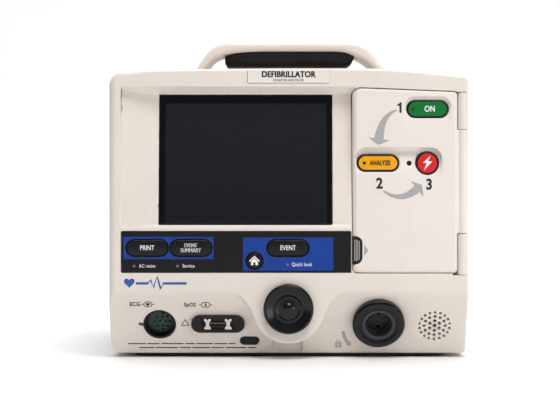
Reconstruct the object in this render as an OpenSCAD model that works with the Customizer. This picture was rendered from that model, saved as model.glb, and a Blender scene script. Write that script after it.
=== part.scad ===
// Hospital defibrillator and monitor, in millimetres.
// +Z is up, the front faces -Y and +X is to the viewer's right.
// The origin is on the floor, under the centre of the case.

/* [Case] */
// Width of the case
case_w = 256; // [254:1:262]
// Height of the case at its crown, feet included
case_h = 207; // [206:0.5:209]
// Depth from the speed dial's face to the back of the case
overall_d = 262; // [260:1:270]
// Depth of the front case, from its face to the seam
front_case_d = 100; // [98:1:104]
// Wall thickness of the shells
wall = 3; // [2.5:0.1:3.2]
// Wall thickness of the front face
face_wall = 4; // [3.8:0.1:4.2]
// Height of the underside of the shells above the floor
clearance_z = 2.5; // [2.4:0.1:3]

/* [Chin] */
// Height of the line where the sloping chin begins
chin_top = 47; // [46:0.5:48]
// Slope of the chin from the vertical, in degrees
chin_angle = 25; // [23:1:26]
// Radius of the flush tongue around the speed dial
tongue_r = 26.5; // [26:0.5:28]

/* [Display] */
// Width of the black display window
window_w = 123.6; // [120:0.2:124]
// Height of the black display window
window_h = 93.4; // [90:0.2:94]
// Backward tilt of the display, in degrees
window_tilt = 5; // [4:0.5:6]

/* [Door] */
// Width of the door, from its free edge to the hinge strip
door_w = 74.6; // [74:0.1:75]
// Height of the door
door_h = 132; // [131:0.5:132.5]
// Thickness of the door's skin
door_skin = 3; // [2.6:0.1:3.2]
// How far the door's top edge falls towards the hinge
door_fall = 3; // [2:0.1:3.4]
// Depth of the bay behind the door's face
bay_d = 15; // [14.5:0.5:16]

/* [Controls] */
// Outer diameter of the speed dial
dial_d = 35.6; // [34:0.2:36]
// How far the speed dial stands proud of the face
dial_proud = 6; // [5:0.5:7]
// Travel of the keypad keys
key_travel = 0.8; // [0.5:0.1:1]
// Travel of the three large buttons and the manual keys
button_travel = 1.5; // [1:0.1:1.6]

/* [Handle] */
// Height of the top of the handle
handle_top = 229; // [227:0.5:232]
// Depth of the handle, front to back
handle_d = 36; // [34:1:38]

/* [Printer] */
// Diameter of the paper roll
paper_d = 42; // [38:1:44]
// Width of the paper
paper_w = 50; // [50:1:52]
// Number of teeth on the platen's gear
platen_teeth = 24; // [24:12:24]
// Number of teeth on the motor's gear
motor_teeth = 12; // [12:12:12]

/* [Hidden] */
$fn = 64;

// Colours
cream = [0.86, 0.83, 0.79];
ink = [0.05, 0.05, 0.06];
dark_grey = [0.2, 0.2, 0.21];
mid_grey = [0.45, 0.45, 0.46];
steel = [0.7, 0.71, 0.72];
board_green = [0.1, 0.35, 0.2];

// A hair more than a face, so that cuts run past it
eps = 0.5;
// Gap between a moving piece and the hole that guides it
slip = 0.3;

// Planes of the case, from front to back
y_front = -overall_d / 2 + dial_proud;
y_back = overall_d / 2;
y_seam = y_front + front_case_d;
y_cavity = y_front + face_wall;

// The top is flat under the handle and falls away towards both sides
crown_x = [-70, 73];
top_left_z = 205.3;
top_right_z = 201.6;
corner_r = [10, 3, 2, 8];

// Display
window_x = -30.6;
window_z = 94.5;
window_y = y_front + 1;
window_t = 3;
recess_x = [-119, 43.5];
recess_z = [94, 194];

// Plate under the case
plate_t = 1.5;

// Keypad
keypad_x = [-119, 44.3];
keypad_z = [61.6, 91.1];
keypad_t = 2.2;
keypad_y = y_front + 0.3;
keypad_ledge = 1.5;
key_z = 79.2;
key_size = [29.2, 11.3];
key_x = [-100.5, -69.5, -0.4];
home_pos = [-24.2, 70];
home_d = 11.2;

// Door bay
door_x = 45.6;
door_z = 61.4;
bay_x = [door_x - 0.3, door_x + door_w + 0.2];
bay_z = [door_z - 0.4, door_z + door_h + 0.3];
bay_y = y_front + bay_d;
panel_t = 2;
panel_y = bay_y - panel_t;
panel_x = [bay_x[0] + 0.5, bay_x[1] - 0.6];
panel_z = [bay_z[0] + 0.6, bay_z[1] - 0.6];

// Hinge of the door
hinge_x = 124.2;
hinge_y = y_front + 3.8;
knuckle_r = 3.6;
hinge_pin_r = 1.5;
knuckle_z = [89.4, 163.6];
hinge_z = [60, 190];

// Large buttons, seen through the door
on_pos = [99, 178];
on_size = [29.4, 12];
analyze_pos = [63.7, 139.6];
analyze_size = [29.6, 11.7];
shock_pos = [98.8, 139.5];
shock_d = 15.9;
lamp_pos = [86, 139.5];
lamp_d = 3.6;
button_y = y_front + 0.6;
pocket_x = [47.9, 108.8];
pocket_z = [131, 150.4];
pocket_d = 5;
on_pocket_z = [169.5, 186.8];
on_pocket_d = 3;

// Manual keys behind the door: name order follows NODES
manual_y = panel_y - 2.5;
manual_cap = 1.4;
manual_size = [17, 9];

// Latch button: a D-shape at the door's free edge
latch_z = 77.5;
latch_half = 9.5;
latch_bulge = 6.5;
latch_r = (latch_half * latch_half + latch_bulge * latch_bulge) / (2 * latch_bulge);
latch_cx = door_x + latch_bulge - latch_r;

// Speed dial
dial_z = 36;
dial_gap = 0.8;
shaft_r = 3;
dial_push = 1;

// Sockets on the chin
ecg_pos = [-92.4, 24.2];
ecg_r = 11.6;
spo2_pos = [-50.5, 25.2];
spo2_size = [38.4, 13.2];
ir_pos = [-27.9, 11.8];
ir_size = [13.7, 6.6];
therapy_pos = [64.5, 26.1];
therapy_ring_r = 18.7;
therapy_tube_r = 12.1;
therapy_bore_r = 9.6;
therapy_seat_r = 9;
therapy_proud = 5;
therapy_depth = 8;
speaker_pos = [105, 22.9];
grille_rings = [[0, 1, 1.5], [3.9, 6, 1.25], [7.6, 12, 1.1], [10.9, 18, 0.95]];

// Handle
leg_x = [-68, 71];
grip_gap_x = [-57.5, 59.5];
arch_y = y_front + 29;
arch_in_z = 221.4;
grip_x = [-46.3, 48.9];
grip_z = 210.7;
well_y = [y_front + 27, y_front + 93];
well_z = 182;

// Printer, in the left side of the rear case
bay_l_x = -72;
print_y = [6, 82];
print_z = [90, 172];
print_wall = 2;
roll_pos = [-98, 116];
platen_pos = [-113.5, 160.5];
platen_r = 5;
gear_module = 0.8;
gear_y = 68.5;
gear_t = 4;
print_hinge = [-124.8, 94];
print_pin_r = 1.2;
print_door_t = 3;

// Back of the case
inlet_pos = [-72, 38];
inlet_size = [27.6, 20.2];
port_pos = [-12, 38];
battery_x = [38, 112];
battery_z = [18, 76];
battery_y = 62;
screw_at = [[-118, 18], [121.8, 9.5], [-118, 190], [118, 188], [0, 16], [0, 196]];
screw_r = 1.8;
screw_head_r = 3.4;

// Extrudes an outline drawn in X and Z from y0 back to y1.
module along_y(y0, y1) {
    translate([0, y1, 0])
        rotate([90, 0, 0])
            linear_extrude(y1 - y0)
                children();
}

// Extrudes an outline drawn in Y and Z from x0 right to x1.
module along_x(x0, x1) {
    translate([x0, 0, 0])
        rotate([90, 0, 90])
            linear_extrude(x1 - x0)
                children();
}

// A block between two opposite corners.
module block(low, high) {
    translate(low)
        cube(high - low);
}

// A flat rectangle between two ranges, with rounded corners.
module plate_outline(xs, zs, r = 0) {
    translate([xs[0] + r, zs[0] + r])
        offset(r = r)
            square([xs[1] - xs[0] - 2 * r, zs[1] - zs[0] - 2 * r]);
}

// The door's outline between two ranges, with rounded corners and a top that falls to the right.
module door_outline(xs, zs, r) {
    offset(r = r)
        polygon([
            [xs[0] + r, zs[0] + r],
            [xs[1] - r, zs[0] + r],
            [xs[1] - r, zs[1] - r - door_fall],
            [xs[0] + r, zs[1] - r]
        ]);
}

// A flat shape with half-round ends.
module stadium(size) {
    reach = (size[0] - size[1]) / 2;
    hull() {
        translate([-reach, 0])
            circle(d = size[1]);
        translate([reach, 0])
            circle(d = size[1]);
    }
}

// Depth of the chin's surface at a height.
function chin_y(z) = y_front + (chin_top - z) * tan(chin_angle);

// Puts a shape on the chin, with its own +Z pointing straight out of the surface.
module on_chin(pos) {
    translate([pos[0], chin_y(pos[1]), pos[1]])
        rotate([90 + chin_angle, 0, 0])
            children();
}

// Puts a shape in the display's tilted frame, whose origin is the window's lower edge.
module on_display() {
    translate([window_x, window_y, window_z])
        rotate([-window_tilt, 0, 0])
            children();
}

// Outline of the case, seen from the front.
module case_outline() {
    half = case_w / 2;
    hull() {
        translate([-half + corner_r[0], top_left_z - corner_r[0]])
            circle(corner_r[0]);
        translate([half - corner_r[1], top_right_z - corner_r[1]])
            circle(corner_r[1]);
        translate([half - corner_r[2], clearance_z + corner_r[2]])
            circle(corner_r[2]);
        translate([-half + corner_r[3], clearance_z + corner_r[3]])
            circle(corner_r[3]);
        translate([crown_x[0], case_h - 1])
            square([crown_x[1] - crown_x[0], 1]);
    }
}

// Outline of the tongue that carries the speed dial, with filleted shoulders.
module tongue_outline(grow) {
    shoulder = 12;
    offset(delta = grow)
        offset(r = -shoulder)
            offset(r = shoulder) {
                translate([0, dial_z + 1.5])
                    circle(tongue_r);
                translate([-case_w, chin_top])
                    square([2 * case_w, case_h]);
            }
}

// Everything in front of the chin's plane moved back by inset, apart from the tongue.
module chin_space(inset, grow) {
    back = inset / cos(chin_angle);
    rise = 30;
    low = clearance_z - 9;
    difference() {
        along_x(-case_w, case_w)
            polygon([
                [y_front - 40, low],
                [chin_y(low) + back, low],
                [chin_y(chin_top + rise) + back, chin_top + rise],
                [y_front - 40, chin_top + rise]
            ]);
        along_y(y_front - 41, 0)
            tongue_outline(grow);
    }
}

// The dished surround of the display, grown outward and backward by grow.
module display_recess(grow) {
    hull() {
        along_y(y_front - eps, y_front)
            plate_outline(recess_x + [-grow, grow], recess_z + [-grow, grow], 4);
        on_display()
            block([-window_w / 2 - 0.4 - grow, -0.1, 1 - grow],
                  [window_w / 2 + 0.4 + grow, grow * 2 + 0.1, window_h + 1.6 + grow]);
    }
}

// Side outline of the finger well behind the front bezel.
module well_outline(grow) {
    offset(delta = grow)
        polygon([
            [well_y[0], case_h + 40],
            [well_y[0], well_z + 5],
            [well_y[0] + 5, well_z],
            [well_y[1] - 26, well_z],
            [well_y[1] - 4, case_h - 6],
            [well_y[1], case_h + 40]
        ]);
}

// The finger well under the handle.
module finger_well(grow) {
    along_x(grip_gap_x[0] - grow, grip_gap_x[1] + grow)
        well_outline(grow);
}

// The D-shaped outline of the latch button, grown by grow and past the door's edge by start.
module latch_outline(grow, start) {
    intersection() {
        translate([latch_cx, latch_z])
            circle(latch_r + grow);
        translate([door_x - start, latch_z - latch_half - grow])
            square([20, 2 * (latch_half + grow)]);
    }
}

// A round hole or rod on the chin, from height z0 to z1 above the surface.
module chin_rod(pos, r, z0, z1) {
    on_chin(pos)
        translate([0, 0, z0])
            cylinder(r = r, h = z1 - z0);
}

module front_case() {
    through = 20;
    color(cream)
        difference() {
            along_y(y_front, y_seam)
                case_outline();
            chin_space(0, 0);
            front_cavity();
            display_recess(0);
            on_display() {
                block([-window_w / 2 - 0.2, -0.1, 1.3], [window_w / 2 + 0.2, window_t + 0.2, window_h + 1.5]);
                block([-window_w / 2 + 4, 0, 3.5], [window_w / 2 - 4, through, window_h - 3]);
            }
            finger_well(0);
            keypad_cut();
            bay_cut();
            thumb_slot();
            block([-29.2, y_front - eps, 196.4], [29.2, y_front + 0.6, 205.9]);
            chin_cuts();
            along_y(y_front - eps, y_front + through)
                translate([0, dial_z])
                    circle(shaft_r + 1);
        }
}

// The hollow of the front case, stopped by a wall behind each recess of its face.
module front_cavity() {
    difference() {
        along_y(y_cavity, y_seam + eps)
            offset(delta = -wall)
                case_outline();
        chin_space(wall, -wall);
        display_recess(wall);
        finger_well(wall);
        block([bay_x[0] - wall, y_front - 1, bay_z[0] - wall], [case_w, bay_y + wall, bay_z[1] + wall]);
    }
}

// The keypad's seat and the window behind it.
module keypad_cut() {
    along_y(y_front - eps, keypad_y + keypad_t)
        plate_outline(keypad_x + [-0.1, 0.1], keypad_z + [-0.1, 0.1]);
    along_y(y_front - eps, y_front + 9)
        plate_outline(keypad_x + [keypad_ledge, -keypad_ledge], keypad_z + [keypad_ledge, -keypad_ledge]);
}

// The bay for the manual controls, the hinge's corner and the openings behind.
module bay_cut() {
    along_y(y_front - eps, bay_y)
        door_outline(bay_x, bay_z, 3);
    block([bay_x[1] - 3.4, y_front - eps, hinge_z[0] - 0.3],
          [case_w, hinge_y + knuckle_r + 0.4, hinge_z[1] + 0.3]);
    along_y(bay_y - eps, bay_y + 9) {
        plate_outline(panel_x + [11, -3], panel_z + [3, -3]);
        plate_outline([panel_x[0] + 2, panel_x[0] + 20], [analyze_pos[1] - 8, analyze_pos[1] + 8]);
        translate([door_x + 2.6, latch_z])
            square([3 + 2 * slip, 10 + 2 * slip], center = true);
    }
}

// A shallow rectangular recess in the chin, under the tongue.
module thumb_slot() {
    depth = 1.8;
    on_chin([0, 8])
        block([-11, -4.2, -depth], [10, 6, 3]);
}

// Openings in the chin for the sockets, the window of the infrared port and the speaker.
module chin_cuts() {
    deep = -16;
    chin_rod(ecg_pos, ecg_r + 0.1, deep, 3);
    chin_rod(therapy_pos, therapy_tube_r + 0.1, deep, 3);
    on_chin(ecg_pos)
        translate([-ecg_r - 3.6, -1, -1.5])
            cube([6, 2, 6]);
    on_chin(spo2_pos)
        translate([0, 0, deep])
            linear_extrude(25)
                stadium(spo2_size - [4, 4]);
    on_chin(ir_pos)
        translate([0, 0, deep])
            linear_extrude(25)
                stadium(ir_size + [0.1, 0.1]);
    for (ring = grille_rings)
        for (i = [0 : ring[1] - 1])
            on_chin(speaker_pos)
                rotate(360 * i / ring[1])
                    translate([ring[0], 0, -wall - 2])
                        cylinder(r = ring[2], h = wall + 4, $fn = 16);
}

module rear_case() {
    color(cream)
        difference() {
            along_y(y_seam, y_back)
                case_outline();
            rear_cavity();
            block([-case_w, print_y[0], print_z[0]], [bay_l_x, print_y[1], print_z[1]]);
            along_y(y_back - wall - eps, y_back + eps) {
                translate(inlet_pos)
                    square(inlet_size + [0.1, 0.1], center = true);
                translate(port_pos)
                    square([41.1, 13.1], center = true);
                translate(port_pos + [-38, 0])
                    circle(3.05);
            }
            block([battery_x[0], battery_y, battery_z[0]], [battery_x[1], y_back + eps, battery_z[1]]);
            along_y(y_back - 2.4, y_back + eps)
                plate_outline(battery_x + [-5, 5], battery_z + [-5, 5], 3);
            for (at = screw_at)
                translate([at[0], y_back + eps, at[1]])
                    rotate([90, 0, 0]) {
                        cylinder(r = screw_r + 0.2, h = wall + 10);
                        cylinder(r = screw_head_r + 0.2, h = 2.4 + eps);
                    }
            translate([print_hinge[0], print_y[0] - 2.2, print_hinge[1]])
                rotate([-90, 0, 0])
                    cylinder(r = print_pin_r + 0.05, h = print_y[1] - print_y[0] + 4.4);
            for (i = [0 : 9])
                block([case_w / 2 - wall - eps, 10 + 9 * i, 120], [case_w, 14 + 9 * i, 170]);
            block([-80, -10, clearance_z - eps], [80, 50, clearance_z + wall + eps]);
        }
}

// The hollow of the rear case, stopped by the walls of the printer's and battery's bays.
module rear_cavity() {
    difference() {
        along_y(y_seam - eps, y_back - wall)
            offset(delta = -wall)
                case_outline();
        block([-case_w, print_y[0] - wall, print_z[0] - wall],
              [bay_l_x + wall, print_y[1] + wall, print_z[1] + wall]);
        block([battery_x[0] - wall, battery_y - wall, battery_z[0] - wall],
              [battery_x[1] + wall, case_w, battery_z[1] + wall]);
        for (at = screw_at)
            translate([at[0], y_back, at[1]])
                rotate([90, 0, 0])
                    cylinder(r = screw_r + 2.4, h = wall + 10);
    }
}

module base_plate() {
    color(dark_grey)
        difference() {
            translate([0, 0, clearance_z - plate_t])
                linear_extrude(plate_t)
                    plate_outline([-111, 113], [-102, 124], 6);
            for (i = [-3 : 3])
                block([-40, 14 + 10 * i, 0], [40, 18 + 10 * i, clearance_z + 1]);
        }
}

module feet() {
    color(ink)
        for (x = [-96, 97], y = [-84, 110])
            translate([x, y, 0]) {
                cylinder(r1 = 10.6, r2 = 11, h = 0.4);
                translate([0, 0, 0.4])
                    cylinder(r = 11, h = clearance_z - plate_t - 0.4);
            }
}

// Outline of the opening under the handle.
module handle_gap_outline() {
    r = 12;
    hull() {
        for (side = [0, 1])
            translate([grip_gap_x[side] + (1 - 2 * side) * 25.5, arch_in_z - r])
                circle(r);
        translate([grip_gap_x[0], case_h - 2])
            square([grip_gap_x[1] - grip_gap_x[0], 1]);
    }
}

module handle_arch() {
    r = 9;
    color(cream)
        along_y(arch_y, arch_y + handle_d)
            difference() {
                hull() {
                    for (side = [0, 1])
                        translate([leg_x[side] + (1 - 2 * side) * 26, handle_top - r])
                            circle(r);
                    translate([leg_x[0], case_h])
                        square([leg_x[1] - leg_x[0], 1]);
                }
                handle_gap_outline();
            }
}

module handle_grip() {
    color(ink)
        along_y(arch_y + 2, arch_y + handle_d - 2)
            intersection() {
                handle_gap_outline();
                polygon([
                    [grip_x[0], arch_in_z + 1],
                    [grip_x[0], grip_z + 7],
                    [grip_x[0] + 4, grip_z],
                    [grip_x[1] - 4, grip_z],
                    [grip_x[1], grip_z + 7],
                    [grip_x[1], arch_in_z + 1]
                ]);
            }
}

module nameplate() {
    color(steel)
        along_y(y_front - 0.2, y_front + 0.6)
            plate_outline([-29, 29], [196.6, 205.7], 0.6);
}

module display_window() {
    color(ink)
        on_display()
            block([-window_w / 2, 0, 1.5], [window_w / 2, window_t, window_h + 1.3]);
}

module lcd_panel() {
    color(dark_grey)
        on_display() {
            block([-window_w / 2 + 4.5, window_t + 0.1, 4],
                  [window_w / 2 - 4.5, window_t + 5, window_h - 3.5]);
            block([-40, window_t + 5, 10], [20, window_t + 6.5, 40]);
        }
}

module lcd_bracket() {
    y0 = window_t + 6.8;
    color(steel)
        on_display()
            difference() {
                block([-window_w / 2 + 8, y0, 6], [window_w / 2 - 8, y0 + 1.2, window_h - 8]);
                for (x = [-30, 30])
                    block([x - 22, y0 - 1, 20], [x + 22, y0 + 3, 70]);
            }
}

module keypad_panel() {
    color([0.12, 0.25, 0.6])
        difference() {
            along_y(keypad_y, keypad_y + keypad_t)
                plate_outline(keypad_x, keypad_z, 0.8);
            for (x = key_x)
                translate([x, keypad_y - eps, key_z])
                    rotate([-90, 0, 0])
                        linear_extrude(5)
                            stadium(key_size + [2 * slip, 2 * slip]);
            translate([home_pos[0], keypad_y - eps, home_pos[1]])
                rotate([-90, 0, 0])
                    cylinder(d = home_d + 2 * slip, h = 5);
        }
}

module keypad_board() {
    y0 = y_cavity + 4;
    color(board_green)
        along_y(y0, y0 + 1.6)
            plate_outline(keypad_x + [3, -5], keypad_z + [3, -3], 1);
}

// A keypad key: a half-round-ended cap with a flange that holds it behind the panel.
module keypad_key(x) {
    back = keypad_y + keypad_t;
    translate([x, 0, key_z]) {
        along_y(y_front - 0.6, back + 0.4)
            stadium(key_size);
        along_y(back + 0.4, back + 1.4)
            stadium(key_size + [1.4, 1.4]);
        along_y(back + 1.4, back + 3)
            circle(2);
    }
}

module print_key() {
    color(ink)
        keypad_key(key_x[0]);
}

module event_summary_key() {
    color(ink)
        keypad_key(key_x[1]);
}

module event_key() {
    color(ink)
        keypad_key(key_x[2]);
}

module home_key() {
    back = keypad_y + keypad_t;
    color(ink)
        translate([home_pos[0], 0, home_pos[1]]) {
            along_y(y_front - 0.6, back + 0.4)
                circle(d = home_d);
            along_y(back + 0.4, back + 1.4)
                circle(d = home_d + 1.4);
            along_y(back + 1.4, back + 3)
                circle(2);
        }
}

module dial_encoder() {
    y0 = y_cavity + 0.2;
    color(steel)
        translate([0, 0, dial_z])
            difference() {
                union() {
                    along_y(y0, y0 + 7)
                        square([15, 15], center = true);
                    along_y(y0 - 2, y0)
                        circle(3.9);
                }
                along_y(y0 - 3, y0 + 6)
                    circle(shaft_r + 0.05);
            }
}

module dial_shaft() {
    color(steel)
        translate([0, 0, dial_z])
            along_y(y_front - dial_proud + 2.4, y_cavity + 4.5)
                circle(shaft_r);
}

// The dial is dished, with a raised hub and a small dome at its centre.
module speed_dial() {
    r = dial_d / 2;
    tall = dial_proud - dial_gap;
    color(ink)
        translate([0, y_front - dial_gap, dial_z])
            rotate([90, 0, 0])
                difference() {
                    rotate_extrude()
                        polygon([
                            [0, 0], [r - 1, 0], [r, 1], [r, tall - 1.2], [r - 1.2, tall],
                            [r - 2.4, tall], [r - 4.6, tall - 1.8], [11.6, tall - 2.4],
                            [10.6, tall - 0.6], [9.2, tall - 0.3], [7.4, tall - 1.6], [5.2, tall - 1.2],
                            [3.2, tall - 0.3], [0, tall]
                        ]);
                    translate([0, 0, -1])
                        cylinder(r = shaft_r + 0.05, h = tall - 2.4 + 1.2);
                }
}

module ecg_socket() {
    color(ink)
        on_chin(ecg_pos)
            difference() {
                translate([0, 0, -11])
                    cylinder(r = ecg_r, h = 11.2);
                translate([0, 0, -4.5])
                    cylinder(r = ecg_r - 1.4, h = 6);
                translate([0, 0, -9])
                    cylinder(r = ecg_r - 3, h = 6);
            }
}

// Small sockets stand in the middle and on the left, and five larger ones on the right.
module ecg_insert() {
    holes = [for (i = [0 : 6]) [i == 0 ? 0 : 4.2, 60 * i, 0.65], for (i = [0 : 4]) [6.9, 36 * i - 72, 0.9]];
    color(board_green)
        on_chin(ecg_pos)
            difference() {
                translate([0, 0, -9])
                    cylinder(r = ecg_r - 3, h = 4.5);
                for (h = holes)
                    rotate(h[1])
                        translate([h[0], 0, -7])
                            cylinder(r = h[2], h = 8, $fn = 16);
            }
}

module spo2_bezel() {
    color(ink)
        on_chin(spo2_pos)
            difference() {
                union() {
                    linear_extrude(3)
                        stadium(spo2_size);
                    translate([0, 0, -8])
                        linear_extrude(8)
                            stadium(spo2_size - [4.4, 4.4]);
                }
                translate([0, 0, -2])
                    linear_extrude(8)
                        square([22.5, 7.6], center = true);
            }
}

module spo2_shell() {
    color(steel)
        on_chin(spo2_pos) {
            difference() {
                translate([0, 0, -2])
                    linear_extrude(4)
                        square([22, 7.2], center = true);
                translate([0, 0, -1.2])
                    linear_extrude(8)
                        square([20.8, 6], center = true);
            }
            translate([0, 0, -1.2])
                linear_extrude(2.6)
                    square([12, 1.6], center = true);
        }
}

module ir_window() {
    color(ink)
        on_chin(ir_pos) {
            translate([0, 0, -wall])
                linear_extrude(wall + 0.4)
                    stadium(ir_size);
            translate([0, 0, -wall - 1])
                linear_extrude(1)
                    stadium(ir_size + [2, 1.2]);
        }
}

// The tube that the therapy cable's plug enters, closed at the back.
module therapy_socket() {
    color(dark_grey)
        on_chin(therapy_pos)
            difference() {
                translate([0, 0, -12])
                    cylinder(r = therapy_tube_r, h = 12 + therapy_proud);
                translate([0, 0, therapy_proud - therapy_depth])
                    cylinder(r = therapy_bore_r, h = 20);
                translate([0, 0, therapy_proud - therapy_depth - 6])
                    cylinder(r = therapy_seat_r, h = 20);
            }
}

module therapy_insert() {
    face = therapy_proud - therapy_depth;
    color(ink)
        on_chin(therapy_pos)
            difference() {
                translate([0, 0, face - 6])
                    cylinder(r = therapy_seat_r - 0.05, h = 6);
                for (y = [-5.4, 5.4])
                    translate([0, y, face - 5])
                        cylinder(r = 1.4, h = 8);
                for (x = [-5, 5], y = [-1.5, 1.5])
                    translate([x, y, face - 4])
                        cylinder(r = 0.7, h = 8, $fn = 16);
            }
}

// The collar that turns on the tube to lock the cable's plug.
module therapy_ring() {
    tall = therapy_proud + 1;
    color(ink)
        on_chin(therapy_pos)
            difference() {
                translate([0, 0, 0.3])
                    rotate_extrude()
                        polygon([
                            [0, 0], [therapy_ring_r, 0], [therapy_ring_r, tall - 1.6],
                            [therapy_ring_r - 1.2, tall - 0.3], [therapy_ring_r - 3, tall],
                            [therapy_tube_r + 1.6, tall], [0, tall]
                        ]);
                translate([0, 0, -1])
                    cylinder(r = therapy_tube_r + 0.05, h = 20);
                translate([0, 0, therapy_proud - 0.4])
                    cylinder(r = therapy_tube_r + 1.4, h = 20);
            }
}

module speaker() {
    color(dark_grey)
        on_chin(speaker_pos) {
            translate([0, 0, -wall - 4])
                cylinder(r = 13.4, h = 3.8);
            translate([0, 0, -wall - 12])
                cylinder(r = 8.5, h = 8);
        }
}

// The pocket in the door that dishes down to a pair of buttons, deepest at its top.
module door_pocket(xs, zs, deep, grow) {
    intersection() {
        along_x(xs[0] - grow, xs[1] + grow)
            polygon([
                [y_front - 9, zs[0] - grow],
                [y_front + grow, zs[0] - grow],
                [y_front + deep + grow, zs[1] + grow],
                [y_front - 9, zs[1] + grow]
            ]);
        along_y(y_front - 9, y_front + deep + grow)
            plate_outline(xs + [-grow, grow], zs + [-grow, grow], 5 + grow);
    }
}

module front_door() {
    lip = 2;
    lip_back = y_front + 8;
    door_xs = [door_x, door_x + door_w];
    door_zs = [door_z, door_z + door_h];
    on_pocket_x = [on_pos[0] - 16.4, on_pos[0] + 16.4];
    color(cream)
        difference() {
            union() {
                difference() {
                    along_y(y_front, lip_back)
                        door_outline(door_xs, door_zs, 3);
                    along_y(y_front + door_skin, lip_back + 1)
                        door_outline(door_xs + [lip, -lip], door_zs + [lip, -lip], 2);
                }
                intersection() {
                    door_pocket(pocket_x, pocket_z, pocket_d, 2);
                    block([door_xs[0], y_front, door_zs[0]], [door_xs[1], bay_y, door_zs[1]]);
                }
                intersection() {
                    door_pocket(on_pocket_x, on_pocket_z, on_pocket_d, 2);
                    block([door_xs[0], y_front, door_zs[0]], [door_xs[1], bay_y, door_zs[1]]);
                }
                translate([hinge_x, hinge_y, knuckle_z[0] + 0.2])
                    cylinder(r = knuckle_r, h = knuckle_z[1] - knuckle_z[0] - 0.4);
                block([door_xs[1] - 4, y_front + 0.2, knuckle_z[0] + 0.2],
                      [hinge_x, y_front + door_skin, knuckle_z[1] - 0.2]);
            }
            door_pocket(pocket_x, pocket_z, pocket_d, 0);
            door_pocket(on_pocket_x, on_pocket_z, on_pocket_d, 0);
            along_y(y_front - 1, bay_y) {
                translate(on_pos)
                    stadium(on_size + [1, 1]);
                translate(analyze_pos)
                    stadium(analyze_size + [1, 1]);
                translate(shock_pos)
                    circle(d = shock_d + 1);
                translate(lamp_pos)
                    circle(d = lamp_d);
                latch_outline(slip, 3);
            }
            translate([hinge_x, hinge_y, 0])
                cylinder(r = hinge_pin_r + 0.05, h = case_h);
        }
}

module hinge_pin() {
    color(steel)
        translate([hinge_x, hinge_y, hinge_z[0] + 3])
            cylinder(r = hinge_pin_r, h = hinge_z[1] - hinge_z[0] - 6);
}

module hinge_blocks() {
    seat_y = hinge_y + knuckle_r + 0.4;
    color(cream)
        for (zs = [[hinge_z[0], knuckle_z[0] - 0.2], [knuckle_z[1] + 0.2, hinge_z[1]]])
            difference() {
                union() {
                    translate([hinge_x, hinge_y, zs[0]])
                        cylinder(r = knuckle_r, h = zs[1] - zs[0]);
                    block([hinge_x - knuckle_r, hinge_y, zs[0]], [case_w / 2, seat_y, zs[1]]);
                }
                translate([hinge_x, hinge_y, hinge_z[0] + 3])
                    cylinder(r = hinge_pin_r, h = hinge_z[1] - hinge_z[0] - 6);
            }
}

module latch_button() {
    color(dark_grey) {
        along_y(y_front + 0.2, bay_y - 2)
            latch_outline(0, 0);
        along_y(bay_y - 2, bay_y + 5)
            translate([door_x + 2.6, latch_z])
                square([3, 10], center = true);
    }
}

module control_panel() {
    color(dark_grey)
        difference() {
            along_y(panel_y, bay_y)
                door_outline(panel_x, panel_z, 2);
            along_y(panel_y - 1, bay_y + 1) {
                translate(on_pos)
                    stadium(on_size - [1, 1]);
                translate(analyze_pos)
                    stadium(analyze_size - [1, 1]);
                translate(shock_pos)
                    circle(d = shock_d - 1);
                for (at = manual_places())
                    translate(at)
                        square(manual_size - [1, 1], center = true);
                latch_outline(2 * slip, 3);
            }
        }
}

// Centres of the seven manual keys, from the lower left, two to a row.
function manual_places() = [
    [66, 113], [66, 97], [66, 81],
    [102, 117], [102, 103], [102, 89], [102, 75]
];

module control_board() {
    color(board_green)
        along_y(bay_y + 4.2, bay_y + 5.8)
            plate_outline(panel_x + [12, -4], panel_z + [4, -4], 1);
}

// A button that stands on a narrower stem, held behind the panel by a flange.
module panel_button(face_y) {
    along_y(face_y, panel_y - button_travel - 0.3)
        children(0);
    along_y(panel_y - button_travel - 0.4, bay_y + 0.4)
        children(1);
    along_y(bay_y + 0.4, bay_y + 1.4)
        children(2);
}

module on_button() {
    color([0.1, 0.5, 0.25])
        translate([on_pos[0], 0, on_pos[1]])
            panel_button(button_y) {
                stadium(on_size);
                stadium(on_size - [1.6, 1.6]);
                stadium(on_size);
            }
}

module analyze_button() {
    color([0.95, 0.7, 0.15])
        translate([analyze_pos[0], 0, analyze_pos[1]])
            panel_button(button_y) {
                stadium(analyze_size);
                stadium(analyze_size - [1.6, 1.6]);
                stadium(analyze_size);
            }
}

module shock_button() {
    color([0.85, 0.12, 0.1])
        translate([shock_pos[0], 0, shock_pos[1]])
            panel_button(button_y) {
                circle(d = shock_d);
                circle(d = shock_d - 1.6);
                circle(d = shock_d);
            }
}

// One key of the manual controls, at its own place on the panel.
module manual_key(place) {
    at = manual_places()[place];
    half = manual_size / 2;
    translate([at[0], 0, at[1]]) {
        along_y(manual_y, manual_y + manual_cap)
            plate_outline([-half[0], half[0]], [-half[1], half[1]], 2);
        along_y(manual_y + manual_cap, bay_y + 0.4)
            square(manual_size - [1.6, 1.6], center = true);
        along_y(bay_y + 0.4, bay_y + 1.4)
            square(manual_size, center = true);
    }
}

module energy_key() {
    color(mid_grey)
        manual_key(0);
}

module charge_key() {
    color([0.9, 0.75, 0.2])
        manual_key(1);
}

module sync_key() {
    color(mid_grey)
        manual_key(2);
}

module lead_key() {
    color(mid_grey)
        manual_key(3);
}

module rate_key() {
    color(mid_grey)
        manual_key(4);
}

module current_key() {
    color(mid_grey)
        manual_key(5);
}

module pacer_key() {
    color(mid_grey)
        manual_key(6);
}

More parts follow.
